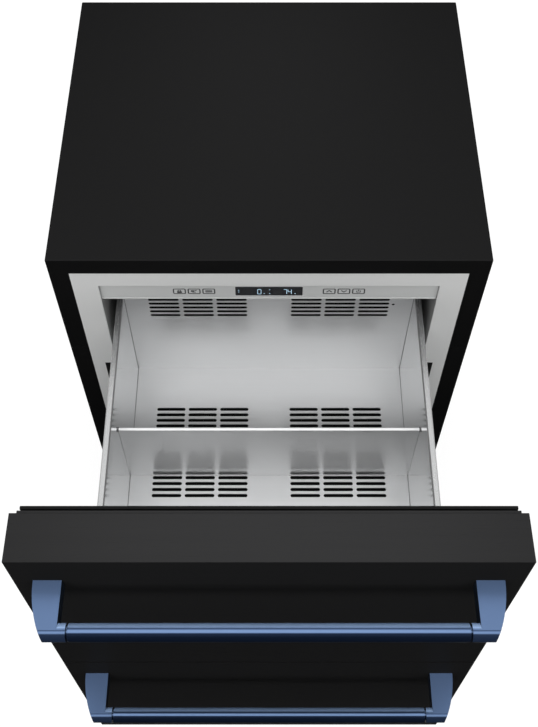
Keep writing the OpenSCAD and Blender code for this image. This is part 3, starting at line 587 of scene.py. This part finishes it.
def galvanised(name, colour):
    """Zinc-coated sheet with the crystals of its coat."""
    material, tree, shader = open_material(name, Metallic=0.85)
    crystals = filled(tree, "ShaderNodeTexVoronoi", -800, 100, Scale=110)
    wire(tree, object_point(tree, -1100, 0), crystals.inputs["Vector"])
    light = add_node(tree, "ShaderNodeSeparateColor", -600, 100)
    wire(tree, crystals.outputs["Color"], light.inputs[0])
    tone = blend(tree, -350, 200, light.outputs[0], scaled(colour, 0.86), scaled(colour, 1.12))
    film = place_group(tree, "Settled dust", -700, -250, Amount=0.2)
    wire(tree, blend(tree, -100, 200, film.outputs["Mask"], tone, DUST), shader.inputs["Base Color"])
    roughen(tree, shader, light.outputs[1], 0.38, 0.55)
    return material


def glowing(name, colour, strength):
    """Lit segments, with slow patches of brightness."""
    material, tree, shader = open_material(name, Roughness=0.4)
    speckle = place_group(tree, "Fine speckle", -700, 0, Size=2500.0, Patch_size=700.0)
    tone = blend(tree, -300, 100, speckle.outputs["Patches"], scaled(colour, 0.8), colour)
    wire(tree, tone, shader.inputs["Emission Color"])
    wire(tree, tone, shader.inputs["Base Color"])
    shader.inputs["Emission Strength"].default_value = strength
    return material


def smoked_glass(name):
    """The nearly black gloss window of the display."""
    material, tree, shader = open_material(
        name, **{"Coat Weight": 0.6, "Coat Roughness": 0.03, "Specular IOR Level": 0.4})
    speckle = place_group(tree, "Fine speckle", -700, 0, Size=1800.0, Patch_size=40.0)
    wire(tree, blend(tree, -300, 100, speckle.outputs["Patches"], (0.004, 0.0042, 0.006), (0.008, 0.0085, 0.011)),
         shader.inputs["Base Color"])
    roughen(tree, shader, speckle.outputs["Bumps"], 0.08, 0.16)
    return material


# Painted highlights and shade of the anodised colour: how bright it is painted, by how far a surface tilts to the
# front (-1) or to the back (1)
BAR_PAINTED_LIGHT = (
    (-1.0, 0.02), (-0.38, 0.02), (-0.29, 0.25), (-0.10, 0.36), (-0.01, 0.28), (0.05, 0.09), (0.19, 0.09),
    (0.31, 0.85), (0.45, 1.0), (0.85, 1.0), (1.0, 0.1))
ARM_PAINTED_LIGHT = (
    (-1.0, 0.035), (-0.48, 0.035), (-0.36, 0.28), (-0.20, 0.28), (-0.14, 0.12), (-0.04, 0.12), (-0.01, 0.26),
    (0.10, 0.26), (0.27, 1.0), (0.85, 1.0), (1.0, 0.1))
PAINTED_LIGHT_GAIN = 4.0  # a band of 1 shows the colour this many times as bright
# Painted shade of the brackets' upright sides
PAINTED_SIDE_SHADE = (0.03, 0.03, 0.03)  # the band of the brackets' upright sides


def anodised(name, colour, bands, flat_sides, metallic):
    """Dyed aluminium with painted highlights and shade: its colour is painted brighter or darker in bands as the
    surface turns, and flat sides can be painted dark.
    """
    material, tree, shader = open_material(
        name, Metallic=metallic, **{"Specular Tint": (0.3, 0.35, 0.45, 1), "Specular IOR Level": 0.2})
    turn = place_group(tree, "Facing", -1000, 200)
    ramp = add_node(tree, "ShaderNodeValToRGB", -750, 200)
    ramp.color_ramp.interpolation = "LINEAR"
    stops = ramp.color_ramp.elements
    while len(stops) < len(bands):
        stops.new(0.5)
    for stop, (tilt, _) in zip(stops, bands):
        stop.position = 0.5 + 0.5 * tilt
    # Painted highlights and shade: each stop is how bright the colour is painted there
    for stop, (_, depth) in zip(stops, bands):
        stop.color = (depth, depth ** 0.95, depth ** 0.86, 1)  # dark bands are bluer
    wire(tree, turn.outputs["Tilt"], ramp.inputs["Fac"])
    # depth here is the painted brightness of the colour, not a depth of dye
    depth = ramp.outputs["Color"]
    if flat_sides:
        depth = blend(tree, -500, 300, turn.outputs["Upright"], depth, PAINTED_SIDE_SHADE)
    tone = add_node(tree, "ShaderNodeVectorMath", -250, 200, operation="MULTIPLY")
    wire(tree, depth, tone.inputs[0])
    tone.inputs[1].default_value = [c * PAINTED_LIGHT_GAIN for c in colour]
    wire(tree, tone.outputs[0], shader.inputs["Base Color"])
    grain = place_group(tree, "Brushed grain", -700, -150, Stretch=(2, 60, 60), Fineness=40.0, Streaks=0.5)
    roughen(tree, shader, grain.outputs["Grain"], 0.26, 0.34)
    return material


def moulded_liner(name, colour):
    """Pale plastic with painted shade, darker from just behind the flange into the compartments."""
    material, tree, shader = open_material(name, **{"Specular IOR Level": 0.3})
    speckle = place_group(tree, "Fine speckle", -700, 0, Size=700.0, Patch_size=5.0)
    tone = blend(tree, -350, 200, speckle.outputs["Patches"], scaled(colour, 0.97), scaled(colour, 1.03))
    # Painted shade: the colour darkens to half behind the flange, where the compartments lie in shade
    inside = place_group(tree, "Depth shade", -700, 300, Start=FACE_Y + 0.4 * MM, Length=2.0 * MM)
    wire(tree, blend(tree, -150, 200, inside.outputs["Mask"], tone, scaled(colour, 0.5)), shader.inputs["Base Color"])
    roughen(tree, shader, speckle.outputs["Bumps"], 0.46, 0.56)
    wire(tree, bump(tree, 50, -250, speckle.outputs["Bumps"], 0.08), shader.inputs["Normal"])
    return material


def make_materials():
    tone = colours()
    across, along, polish = (1, 45, 45), (45, 1, 45), {"shine": 0.3, "contrast": 0.03, "swing": 0.02}
    MATERIALS.update({
        "black_paint": brushed(
            "black case steel", tone.case_black, 0.36, (30, 30, 30), fineness=34.0, contrast=0.07, relief=0.03,
            swing=0.05, metallic=0.6, shine=0.0, tint=0.2),
        "brushed_black": brushed(
            "brushed black steel", tone.front_black, 0.30, across, fineness=26.0, contrast=0.14, relief=0.012,
            metallic=0.6, shine=0.0, tint=0.35),
        "blue_metal": anodised("anodised blue", tone.handle_blue, ARM_PAINTED_LIGHT, True, 0.32),
        "blue_bar": anodised("anodised blue bar", tone.handle_blue, BAR_PAINTED_LIGHT, False, 0.6),
        "brushed_stainless": brushed(
            "brushed stainless", tone.steel, 0.29, across, contrast=0.04, metallic=0.8, relief=0.004, swing=0.03,
            shine=0.3),
        "polished_stainless": brushed(
            "polished stainless", tone.polished, 0.10, along, metallic=0.88, relief=0.006, **polish),
        "rim_steel": brushed(
            "rim steel", scaled(tone.polished, 0.56), 0.27, along, metallic=0.7, relief=0.004, **polish),
        "grey_liner": moulded_liner("liner grey", tone.liner_grey),
        "grey_strip": painted("strip grey", tone.strip_grey, 0.42, size=1500.0, contrast=0.02, shine=0.35),
        "black_glass": smoked_glass("display glass"),
        "black_plastic": painted("black plastic", grey(0.018), 0.5, size=900.0, dust=0.05, wear=0.1),
        "rubber": painted("gasket rubber", tone.rubber_black, 0.62, size=1600.0, contrast=0.12, shine=0.08),
        # Near-black of the painted shade in the gap between the fronts
        "edge_rubber": painted("edge rubber", grey(0.001), 0.8, shine=0.0),
        "foam": painted("rigid foam", (0.72, 0.60, 0.34), 0.9, size=350.0, contrast=0.12, relief=0.5),
        "circuit_board": painted("circuit board", (0.012, 0.09, 0.03), 0.4, size=300.0, contrast=0.25),
        "lamp_diffuser": painted("lamp diffuser", (0.80, 0.80, 0.77), 0.35, size=900.0, contrast=0.02),
        "aluminium_fins": brushed("aluminium fins", (0.68, 0.69, 0.70), 0.35, (40, 40, 2)),
        "black_enamel": painted("black enamel", (0.012, 0.012, 0.013), 0.3, size=260.0, contrast=0.2, dust=0.15),
        "white_tube": painted("white tube", (0.62, 0.62, 0.60), 0.5, size=600.0, contrast=0.05, dust=0.05),
        "copper": brushed("copper tube", (0.66, 0.30, 0.17), 0.3, (20, 20, 20), fineness=8.0, contrast=0.25),
        "zinc": brushed("zinc plate", tone.zinc_grey, 0.36, (60, 2, 60), fineness=30.0, contrast=0.1),
        "galvanised_sheet": galvanised("galvanised sheet", tone.zinc_grey),
        "digits": glowing("lit digits", tone.digit_blue, 0.42),
        "print": painted("printed marks", (0.016, 0.017, 0.018), 0.5, size=1500.0),
        "card": painted("black card", grey(0.02), 0.9, shine=0.0),
        # Near-black for painted shade: the sheets under the slots and the plates at the slides' groove mouths
        "screen": painted("slot screen", grey(0.006), 0.8, shine=0.05, relief=0.02),
        "joint": painted("joint shadow", (0.26, 0.26, 0.262), 0.7, shine=0.1),
        "seam": painted("seam shadow", (0.09, 0.09, 0.091), 0.7, shine=0.1),
    })


def look(name):
    return MATERIALS[name]


# ---- Operators ----


class REFRIGERATOR_OT_materials(bpy.types.Operator):
    """Build every finish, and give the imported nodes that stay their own"""

    bl_idname = "refrigerator.materials"
    bl_label = "Finishes"

    def execute(self, context):
        make_materials()
        for subpart in frame["nodes"].values():
            slot = subpart.data.materials[0].name.split(".")[0] if subpart.data.materials else "black_plastic"
            if slot not in MATERIALS:
                raise RuntimeError(f"no finish for the slot {slot}")
            dress(subpart["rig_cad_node"], look(slot))
        return {"FINISHED"}


class REFRIGERATOR_OT_case(bpy.types.Operator):
    """Build the painted case with its folded edges"""

    bl_idname = "refrigerator.case"
    bl_label = "Case"

    def execute(self, context):
        low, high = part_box("case_wrapper")

        def outer_fold(edge):
            a, b = (at_ends(v, low, high) for v in edge.verts)
            shared = [i for i in (0, 1, 2) if a[i] and a[i] == b[i] and not (i == 2 and a[i] < 0)]
            return len(shared) == 2

        folded_copy("case_shell", "case_wrapper", "black_paint", sizes().case_fold, outer_fold)
        return {"FINISHED"}


class REFRIGERATOR_OT_liner(bpy.types.Operator):
    """Build the moulded liner with rounded openings"""

    bl_idname = "refrigerator.liner"
    bl_label = "Liner"

    def execute(self, context):
        low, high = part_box("inner_liner")

        def opening(edge):
            return all(
                same(v.co.y, low.y) and not same(abs(v.co.x), high.x) and low.z + MM < v.co.z < high.z - MM
                for v in edge.verts)

        folded_copy("liner", "inner_liner", "grey_liner", sizes().liner_edge, opening)
        self.groove_mouths()
        return {"FINISHED"}

    def groove_mouths(self):
        """Painted shade: near-black plates on the flange, where the slides run into the compartments' walls."""
        inner, outer, over = 236 * MM, 252.5 * MM, 2 * MM
        front, back = FACE_Y - 0.3 * MM, FACE_Y + 0.8 * MM
        made = []
        for which in DRAWERS:
            low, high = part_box(f"{which}_slide_rails")
            for left, right in ((-outer, -inner), (inner, outer)):
                mouth = block("mouth", (left, front, low.z - over), (right, back, high.z + over))
                made.append(soften(mouth, 0.25 * MM, 2))
        finish(join(made, "groove_mouths"), look("screen"), "cabinet")


class REFRIGERATOR_OT_fronts(bpy.types.Operator):
    """Build the folded skins of both drawer fronts"""

    bl_idname = "refrigerator.fronts"
    bl_label = "Drawer fronts"

    def execute(self, context):
        for which in DRAWERS:
            low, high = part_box(f"{which}_front_skin")
            piece = block(f"{which}_front", low, high)
            open_edit(piece)
            bpy.ops.mesh.select_all(action="SELECT")
            bpy.ops.mesh.bevel(offset=sizes().front_fold, segments=4, affect="EDGES")
            bpy.ops.mesh.select_mode(type="FACE")
            pick(piece, "faces", lambda f: f.normal.y > 0.99 and f.calc_area() > 0.01)
            bpy.ops.mesh.inset(thickness=RETURN_W - sizes().front_fold, depth=0)
            bpy.ops.mesh.delete(type="FACE")
            close_edit()
            thicken(piece, SKIN_T)
            flatten_shading(piece)
            finish(piece, look("brushed_black"), f"{which}_drawer", [f"{which}_front_skin"])
        self.edge_strip()
        return {"FINISHED"}

    def edge_strip(self):
        """A near-black strip of painted shade along the upper front's lower edge, which darkens the gap between the
        fronts.
        """
        low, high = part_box("upper_front_skin")
        short, hang, top = 0.6 * MM, 2.2 * MM, 1.0 * MM
        strip = block("upper_edge_strip", (low.x + short, low.y + 0.02 * MM, low.z - hang),
                      (high.x - short, low.y + 2.5 * MM, low.z + top))
        soften(strip, 0.4 * MM)
        finish(strip, look("edge_rubber"), "upper_drawer")


class REFRIGERATOR_OT_gaskets(bpy.types.Operator):
    """Round the bellows of both gaskets and the backing plates they sit on"""

    bl_idname = "refrigerator.gaskets"
    bl_label = "Gaskets"

    def execute(self, context):
        for which in DRAWERS:
            body, plate = f"{which}_drawer", f"{which}_front_plate"
            worked_copy(f"{which}_seal", f"{which}_gasket", "rubber", body, 1.2 * MM)
            worked_copy(f"{which}_backing", plate, "black_paint", body, 0.6 * MM)
            low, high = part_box(plate)
            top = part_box(f"{which}_front_skin")[1].z - 0.8 * MM
            short, thick, overlap = 0.5 * MM, 3.4 * MM, 3 * MM
            retainer = block(f"{which}_gasket_retainer", (low.x + short, low.y + 0.1 * MM, high.z - overlap),
                             (high.x - short, low.y + thick, top))
            soften(retainer, 0.4 * MM)
            finish(retainer, look("brushed_black"), body)
        return {"FINISHED"}


class REFRIGERATOR_OT_handles(bpy.types.Operator):
    """Build the blue bars and soften their brackets"""

    bl_idname = "refrigerator.handles"
    bl_label = "Handles"

    def execute(self, context):
        for which in DRAWERS:
            body = f"{which}_drawer"
            low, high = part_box(f"{which}_handle_bar")
            middle = (low + high) / 2
            radius = (high.z - low.z) / 2
            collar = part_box(f"{which}_right_bracket")[0].x - COLLAR_GAP
            piece = rod(f"{which}_bar", (-collar, middle.y, middle.z), (collar, middle.y, middle.z), radius, 96)
            open_edit(piece, "FACE")
            pick(piece, "faces", lambda f: abs(f.normal.x) > 0.99)
            bpy.ops.mesh.inset(thickness=radius - SPIGOT_R, depth=0)
            for side in (-1, 1):
                pick(piece, "faces", lambda f, s=side: f.normal.x * s > 0.99 and len(f.verts) > 10
                     and same(f.calc_center_median().y, middle.y))
                bpy.ops.mesh.extrude_region_move(TRANSFORM_OT_translate={"value": (side * (high.x - collar), 0, 0)})
            close_edit()
            soften(piece, 0.6 * MM, 3, 60)
            finish(piece, look("blue_bar"), body, [f"{which}_handle_bar"])
            for side in ("left", "right"):
                worked_copy(f"{which}_{side}_arm", f"{which}_{side}_bracket", "blue_metal", body,
                            sizes().bracket_edge, 3, 50)
        return {"FINISHED"}


class REFRIGERATOR_OT_drawer_boxes(bpy.types.Operator):
    """Build the polished sides with their rims, and the slotted trays"""

    bl_idname = "refrigerator.drawer_boxes"
    bl_label = "Drawer boxes"

    def execute(self, context):
        for which in DRAWERS:
            body = f"{which}_drawer"
            self.satin_rims(worked_copy(
                f"{which}_sides", f"{which}_drawer_sides", "polished_stainless", body,
                0.3 * MM, 2, 50))
            tray = node_copy(f"{which}_tray", f"{which}_drawer_tray")
            flatten_shading(tray, 30)
            finish(tray, look("brushed_stainless"), body, [f"{which}_drawer_tray"])
            self.screens(which)
            self.joints(which)
        return {"FINISHED"}

    def satin_rims(self, sides):
        """The rounded rims are rubbed to a satin finish, the walls below them are polished."""
        sides.data.materials.append(look("rim_steel"))
        rim = max(v.co.z for v in sides.data.vertices) - 9 * MM
        open_edit(sides, "FACE")
        pick(sides, "faces", lambda f: f.calc_center_median().z > rim)
        sides.active_material_index = 1
        bpy.ops.object.material_slot_assign()
        close_edit()

    def joints(self, which):
        """Thin shadow lines where floor and walls meet the sides."""
        low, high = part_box(f"{which}_drawer_tray")
        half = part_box(f"{which}_divider")[1].x + 0.1 * MM
        front, back, floor = low.y + 1.6 * MM, high.y - FOLD_OUT - TRAY_T, low.z + TRAY_T
        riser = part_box(f"{which}_divider")[0].y + RISER_Y
        deck, wall_top, rim = floor + RISE[which], high.z - 6 * MM, high.z - 4.6 * MM
        fine, coarse = 0.32 * MM, 0.5 * MM
        lines = [(back, deck, back, wall_top, fine), (front, floor, riser if RISE[which] else back, floor, fine),
                 (front, floor, front, wall_top, fine), (front, rim, back, rim, coarse)]
        if RISE[which]:
            lines += [(riser, deck, back, deck, fine), (riser, floor, riser, deck, fine)]
        made = [rod("joint", (x, y0, z0), (x, y1, z1), radius, 8)
                for x in (-half, half) for y0, z0, y1, z1, radius in lines]
        finish(join(made, f"{which}_joints"), look("joint"), f"{which}_drawer")

    def screens(self, which):
        """Black sheets of painted shade close under the slots of the floor, and set into those of the back wall, so
        the slots look dark.
        """
        low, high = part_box(f"{which}_drawer_tray")
        half, sheet, under, margin = 195 * MM, 0.8 * MM, 0.4 * MM, 8 * MM
        front, back = low.y + 14 * MM, high.y - 14 * MM
        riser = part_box(f"{which}_divider")[0].y + RISER_Y
        deck = low.z + RISE[which]
        wall = high.y - FOLD_OUT - TRAY_T + 0.5 * MM
        places = [(front, riser - margin, low.z - under), (riser + margin, back, deck - under)]
        made = [block("sheet", (-half, y0, z - sheet), (half, y1, z)) for y0, y1, z in places]
        made.append(block("sheet", (-half, wall, deck + margin), (half, wall + sheet, high.z - 10 * MM)))
        for piece in made:
            soften(piece, 0.2 * MM, 2)
        finish(join(made, f"{which}_slot_screens"), look("screen"), f"{which}_drawer")


class REFRIGERATOR_OT_dividers(bpy.types.Operator):
    """Build the dividers with their caps, and blocks of painted shade at their ends"""

    bl_idname = "refrigerator.dividers"
    bl_label = "Dividers"

    def execute(self, context):
        for which in DRAWERS:
            divider = node_copy(f"{which}_partition", f"{which}_divider")
            flatten_shading(divider, 30)
            finish(divider, look("brushed_stainless"), f"{which}_divider", [f"{which}_divider"])
            low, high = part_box(f"{which}_divider")
            inner, outer, over = high.x - 1.3 * MM, high.x, 0.15 * MM
            deep, tall = 6.2 * MM, 4.4 * MM
            # Painted shade: near-black blocks where each divider's ends meet the side walls
            gap_shades = []
            for left, right in ((-outer, -inner), (inner, outer)):
                plug = block("plug", (left, low.y - over, high.z - tall), (right, low.y + deep, high.z + over))
                gap_shades.append(soften(plug, 0.4 * MM, 3))
            finish(join(gap_shades, f"{which}_end_plugs"), look("seam"), f"{which}_divider")
        return {"FINISHED"}


# Lit strokes of each digit, lettered clockwise from the top, with g in the middle
SEGMENTS = {"0": "abcdef", "1": "bc", "2": "abged", "3": "abgcd", "4": "fgbc", "5": "afgcd", "6": "afgedc",
            "7": "abc", "8": "abcdefg", "9": "abcdfg"}

# Lines of the symbols on the keys, from left to right: start, end and width in millimetres
KEY_SYMBOLS = (
    [((-2.2, -1.9), (2.2, -1.9), 2.6), ((-1.9, 0.0), (-1.9, 2.0), 0.8), ((1.9, 0.0), (1.9, 2.0), 0.8),
     ((-1.9, 2.4), (1.9, 2.4), 0.8)],
    [((-3.4, 0.6), (-1.2, 0.6), 2.4), ((-0.8, 0.2), (3.2, 2.4), 1.0), ((-2.4, -2.4), (2.0, -2.4), 0.8)],
    [((-4.4, 0.0), (4.4, 0.0), 1.2), ((-4.4, -2.2), (4.4, -2.2), 0.7), ((-4.4, 2.2), (4.4, 2.2), 0.7)],
    [((-3.4, -1.6), (0.0, 1.8), 1.1), ((0.0, 1.8), (3.4, -1.6), 1.1)],
    [((-3.4, 1.6), (0.0, -1.8), 1.1), ((0.0, -1.8), (3.4, 1.6), 1.1)],
    [((0.0, 0.6), (0.0, 3.2), 1.0), ((-2.4, 1.6), (-2.4, -1.6), 0.8), ((2.4, 1.6), (2.4, -1.6), 0.8),
     ((-2.4, -2.2), (2.4, -2.2), 0.8)],
)


class REFRIGERATOR_OT_controls(bpy.types.Operator):
    """Build the control strip, its display, digits, keys and printed marks"""

    bl_idname = "refrigerator.controls"
    bl_label = "Controls"

    def execute(self, context):
        strip = soften(node_copy("strip_housing", "control_strip"), 0.4 * MM, 2, 50)
        low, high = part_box("control_strip")
        lip = block("strip_lip", (low.x, low.y - 1.0 * MM, low.z), (high.x, low.y + 0.5 * MM, low.z + 2.2 * MM))
        soften(lip, 0.9 * MM, 4)
        join([strip, lip], "strip_housing")
        finish(strip, look("grey_strip"), "cabinet", ["control_strip"])
        worked_copy("display_glass", "display_window", "black_glass", "cabinet", 0.25 * MM, 2, 50)
        worked_copy("key_faces", "touch_keys", "grey_strip", "cabinet", 0.15 * MM, 2, 50)
        self.digits()
        self.marks()
        return {"FINISHED"}

    def digits(self):
        """Seven-segment digits, their small unit marks and the pilot marks, just in front of the glass."""
        low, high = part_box("display_window")
        face, middle = low.y, (low.z + high.z) / 2
        width, height, stroke = 4.8 * MM, 10.6 * MM, 0.85 * MM
        setting, temperature = sizes().shown_setting, sizes().shown_temperature
        setting_x, temperature_x, pitch = -13.5 * MM, 22.4 * MM, 6.5 * MM
        shown = [(str(setting), setting_x)]
        shown += [(digit, temperature_x + pitch * i) for i, digit in enumerate(f"{temperature:02d}")]
        base = middle - 1.2 * MM
        lit = []
        for digit, x in shown:
            for segment in SEGMENTS[digit]:
                lit.append(self.segment(segment, x, base, width, height, stroke, face))
        for x in (-6.8 * MM, 0.9 * MM, 36.5 * MM):
            lit.append(self.dot(x, base - height / 2 + 1.1 * MM, 1.6 * MM, 1.3 * MM, face))
        for x, z in ((-42.4 * MM, base + 3.4 * MM), (-42.4 * MM, base - 0.6 * MM), (0.9 * MM, base + 4.6 * MM)):
            lit.append(self.dot(x, z, 1.5 * MM, 1.2 * MM, face))
        finish(join(lit, "display_digits"), look("digits"), "cabinet")

    def segment(self, name, x, z, width, height, stroke, face):
        """A stroke with pointed ends, in one of the seven places of a digit."""
        half = height / 2
        across = name in "agd"
        length = (width if across else half) - stroke * 0.35
        place = {"a": (0, half), "g": (0, 0), "d": (0, -half), "f": (-width / 2, half / 2),
                 "b": (width / 2, half / 2), "e": (-width / 2, -half / 2), "c": (width / 2, -half / 2)}[name]
        size = (length, stroke) if across else (stroke, length)
        return self.dot(x + place[0], z + place[1], *size, face, stroke / 2 * 0.98)

    def dot(self, x, z, wide, high, face, corner=0.35 * MM):
        piece = block("segment", (x - wide / 2, face - 0.12 * MM, z - high / 2), (x + wide / 2, face, z + high / 2))
        open_edit(piece)
        pick(piece, "edges", lambda e: abs((e.verts[0].co - e.verts[1].co).y) > 0.05 * MM)
        bpy.ops.mesh.bevel(offset=corner, segments=1, affect="EDGES")
        close_edit()
        return piece

    def stroke(self, start, end, width, face):
        """A printed line between two points of the strip's face."""
        (x0, z0), (x1, z1) = start, end
        length = math.hypot(x1 - x0, z1 - z0) + width * 0.6
        piece = block("mark", (-length / 2, face - 0.06 * MM, -width / 2), (length / 2, face, width / 2))
        piece.rotation_euler.y = -math.atan2(z1 - z0, x1 - x0)
        piece.location = ((x0 + x1) / 2, 0, (z0 + z1) / 2)
        return settle(piece)

    def outline(self, x, z, wide, high, corner, width, face):
        """A printed frame with round corners."""
        piece = plane("frame", (x, face - 0.06 * MM, z), (wide, high), (math.pi / 2, 0, 0))
        open_edit(piece, "VERT")
        bpy.ops.mesh.select_all(action="SELECT")
        bpy.ops.mesh.bevel(offset=corner, segments=5, affect="VERTICES")
        bpy.ops.mesh.select_mode(type="FACE")
        bpy.ops.mesh.select_all(action="SELECT")
        bpy.ops.mesh.inset(thickness=width, depth=0)
        bpy.ops.mesh.delete(type="FACE")
        close_edit()
        return thicken(piece, 0.05 * MM)

    def marks(self):
        """Thin frames round the six keys, with a plain symbol in each."""
        low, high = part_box("touch_keys")
        face, middle = low.y, (low.z + high.z) / 2
        wide, pitch, corner, line, bold = 18.4 * MM, 20.5 * MM, 2.4 * MM, 1.7 * MM, 1.5
        height = high.z - low.z
        made = []
        places = [low.x + wide / 2 + pitch * i for i in range(3)]
        places += [high.x - wide / 2 - pitch * (2 - i) for i in range(3)]
        for x, symbol in zip(places, KEY_SYMBOLS):
            made.append(self.outline(x, middle, wide - 0.4 * MM, height - 0.3 * MM, corner, line, face))
            for start, end, width in symbol:
                points = [(x + a * MM, middle + b * MM) for a, b in (start, end)]
                made.append(self.stroke(*points, width * bold * MM, face))
        finish(join(made, "key_marks"), look("print"), "cabinet")


class REFRIGERATOR_OT_stage(bpy.types.Operator):
    """Set up the pale floor, the soft lights, the world and the camera"""

    bl_idname = "refrigerator.stage"
    bl_label = "Studio"

    def execute(self, context):
        scene = context.scene
        scene.view_settings.view_transform = "Standard"
        self.floor()
        self.world(scene)
        self.lamps()
        self.flag()
        self.camera(scene)
        return {"FINISHED"}

    def seen(self, tree, x, y):
        """1 for the rays by which the background is seen, straight or in metal and glass."""
        path = add_node(tree, "ShaderNodeLightPath", x, y)
        either = maths(tree, "MAXIMUM", x + 200, y, path.outputs["Is Camera Ray"], path.outputs["Is Glossy Ray"])
        return maths(tree, "MAXIMUM", x + 400, y, either, path.outputs["Is Transmission Ray"])

    def floor(self):
        floor = plane("floor", (0, 0, 0), (60, 60))
        material = bpy.data.materials.new("pale floor")
        tree, output = empty_tree(material, "ShaderNodeOutputMaterial")
        plain = filled(tree, "ShaderNodeBsdfDiffuse", 0, -100, Color=(*grey(0.30), 1))
        glow = filled(tree, "ShaderNodeEmission", 0, 150, Color=WHITE)
        wire(tree, maths(tree, "MULTIPLY", -200, 200, self.seen(tree, -900, 300), 0.83), glow.inputs["Strength"])
        both = add_node(tree, "ShaderNodeAddShader", 300, 0)
        wire(tree, plain.outputs[0], both.inputs[0])
        wire(tree, glow.outputs[0], both.inputs[1])
        wire(tree, both.outputs[0], output.inputs["Surface"])
        floor.data.materials.append(material)

    def world(self, scene):
        world = bpy.data.worlds.new("soft studio")
        scene.world = world
        tree, output = empty_tree(world, "ShaderNodeOutputWorld")
        lit = filled(tree, "ShaderNodeBackground", 0, -100, Color=WHITE, Strength=0.55)
        shown = filled(tree, "ShaderNodeBackground", 0, 150, Color=WHITE)
        choose = add_node(tree, "ShaderNodeMixShader", 300, 0)
        wire(tree, self.seen(tree, -900, 300), choose.inputs[0])
        wire(tree, lit.outputs[0], choose.inputs[1])
        wire(tree, shown.outputs[0], choose.inputs[2])
        wire(tree, choose.outputs[0], output.inputs["Surface"])

    def lamps(self):
        """Soft panels: name, place, where it points, size, watts, and whether metal mirrors it."""
        for name, place, aim, size, watts, mirrored in (
            ("ceiling panel", (0, -1.4, 3.6), (0, -0.2, 0.6), (3.6, 1.8), 20, False),
            ("front panel", (0, -3.4, 1.9), (0, 0, 0.6), (2.8, 1.2), 40, False),
            ("overhead softbox", (0, -1.3, 3.6), (0, -1.3, 0.6), (3.2, 1.7), 16, True),
            ("rear softbox", (0, 0.85, 3.6), (0, 0.85, 0.6), (1.8, 1.2), 8.4, True),
            ("far softbox", (0, 4.2, 3.6), (0, 4.2, 0.6), (1.1, 2.6), 18, True),
        ):
            clear_selection()
            bpy.ops.object.light_add(type="AREA", location=place)
            lamp = named(bpy.context.object, name)
            lamp.rotation_euler = (Vector(aim) - Vector(place)).to_track_quat("-Z", "Y").to_euler()
            lamp.data.shape = "RECTANGLE"
            lamp.data.size, lamp.data.size_y = size
            lamp.data.energy = watts
            lamp.visible_glossy = mirrored

    def flag(self):
        """A folded black card in front, seen only by reflections, that gives the fronts and bars their depth."""
        front, back, wide, tall = -2.7, -0.445, 2.2, 2.2
        card = plane("black card", (0, (front + back) / 2, 0.004), (wide, back - front))
        open_edit(card)
        pick(card, "edges", lambda e: all(same(v.co.y, front) for v in e.verts))
        bpy.ops.mesh.extrude_region_move(TRANSFORM_OT_translate={"value": (0, 0, tall)})
        close_edit()
        card.data.materials.append(look("card"))
        card.visible_camera = card.visible_diffuse = card.visible_shadow = card.visible_transmission = False

    def camera(self, scene):
        """The photograph's own camera: above the open drawers, looking down and back."""
        place, from_straight_down = (0, -0.8434, 1.9541), math.radians(31.76)
        clear_selection()
        bpy.ops.object.camera_add(location=place, rotation=(from_straight_down, 0, 0))
        camera = bpy.context.object
        camera.name = "camera"
        camera.data.lens = 50.44
        camera.data.sensor_width = 36
        camera.data.clip_start = 0.05
        scene.camera = camera


PIECES = (
    REFRIGERATOR_OT_materials, REFRIGERATOR_OT_case, REFRIGERATOR_OT_liner, REFRIGERATOR_OT_fronts,
    REFRIGERATOR_OT_gaskets, REFRIGERATOR_OT_handles, REFRIGERATOR_OT_drawer_boxes, REFRIGERATOR_OT_dividers,
    REFRIGERATOR_OT_controls, REFRIGERATOR_OT_stage,
)


class REFRIGERATOR_PT_panel(bpy.types.Panel):
    """Lists the pieces, their sizes and their colours"""

    bl_idname = "REFRIGERATOR_PT_panel"
    bl_label = "Refrigerator"
    bl_space_type = "VIEW_3D"
    bl_region_type = "UI"
    bl_category = "Refrigerator"

    def draw(self, context):
        for settings in (context.scene.refrigerator_sizes, context.scene.refrigerator_colours):
            box = self.layout.box()
            for name in settings.__annotations__:
                box.prop(settings, name)
        column = self.layout.column(align=True)
        for piece in PIECES:
            column.operator(piece.bl_idname)


CLASSES = (RefrigeratorSizes, RefrigeratorColours, *PIECES, REFRIGERATOR_PT_panel)


def register():
    for made in CLASSES:
        bpy.utils.register_class(made)
    bpy.types.Scene.refrigerator_sizes = bpy.props.PointerProperty(type=RefrigeratorSizes)
    bpy.types.Scene.refrigerator_colours = bpy.props.PointerProperty(type=RefrigeratorColours)


def unregister():
    del bpy.types.Scene.refrigerator_colours
    del bpy.types.Scene.refrigerator_sizes
    for made in reversed(CLASSES):
        bpy.utils.unregister_class(made)


def main():
    register()
    for piece in PIECES:
        group, name = piece.bl_idname.split(".")
        if getattr(getattr(bpy.ops, group), name)() != {"FINISHED"}:
            raise RuntimeError(f"{piece.bl_label} wasn't finished")


if __name__ == "__main__":
    main()
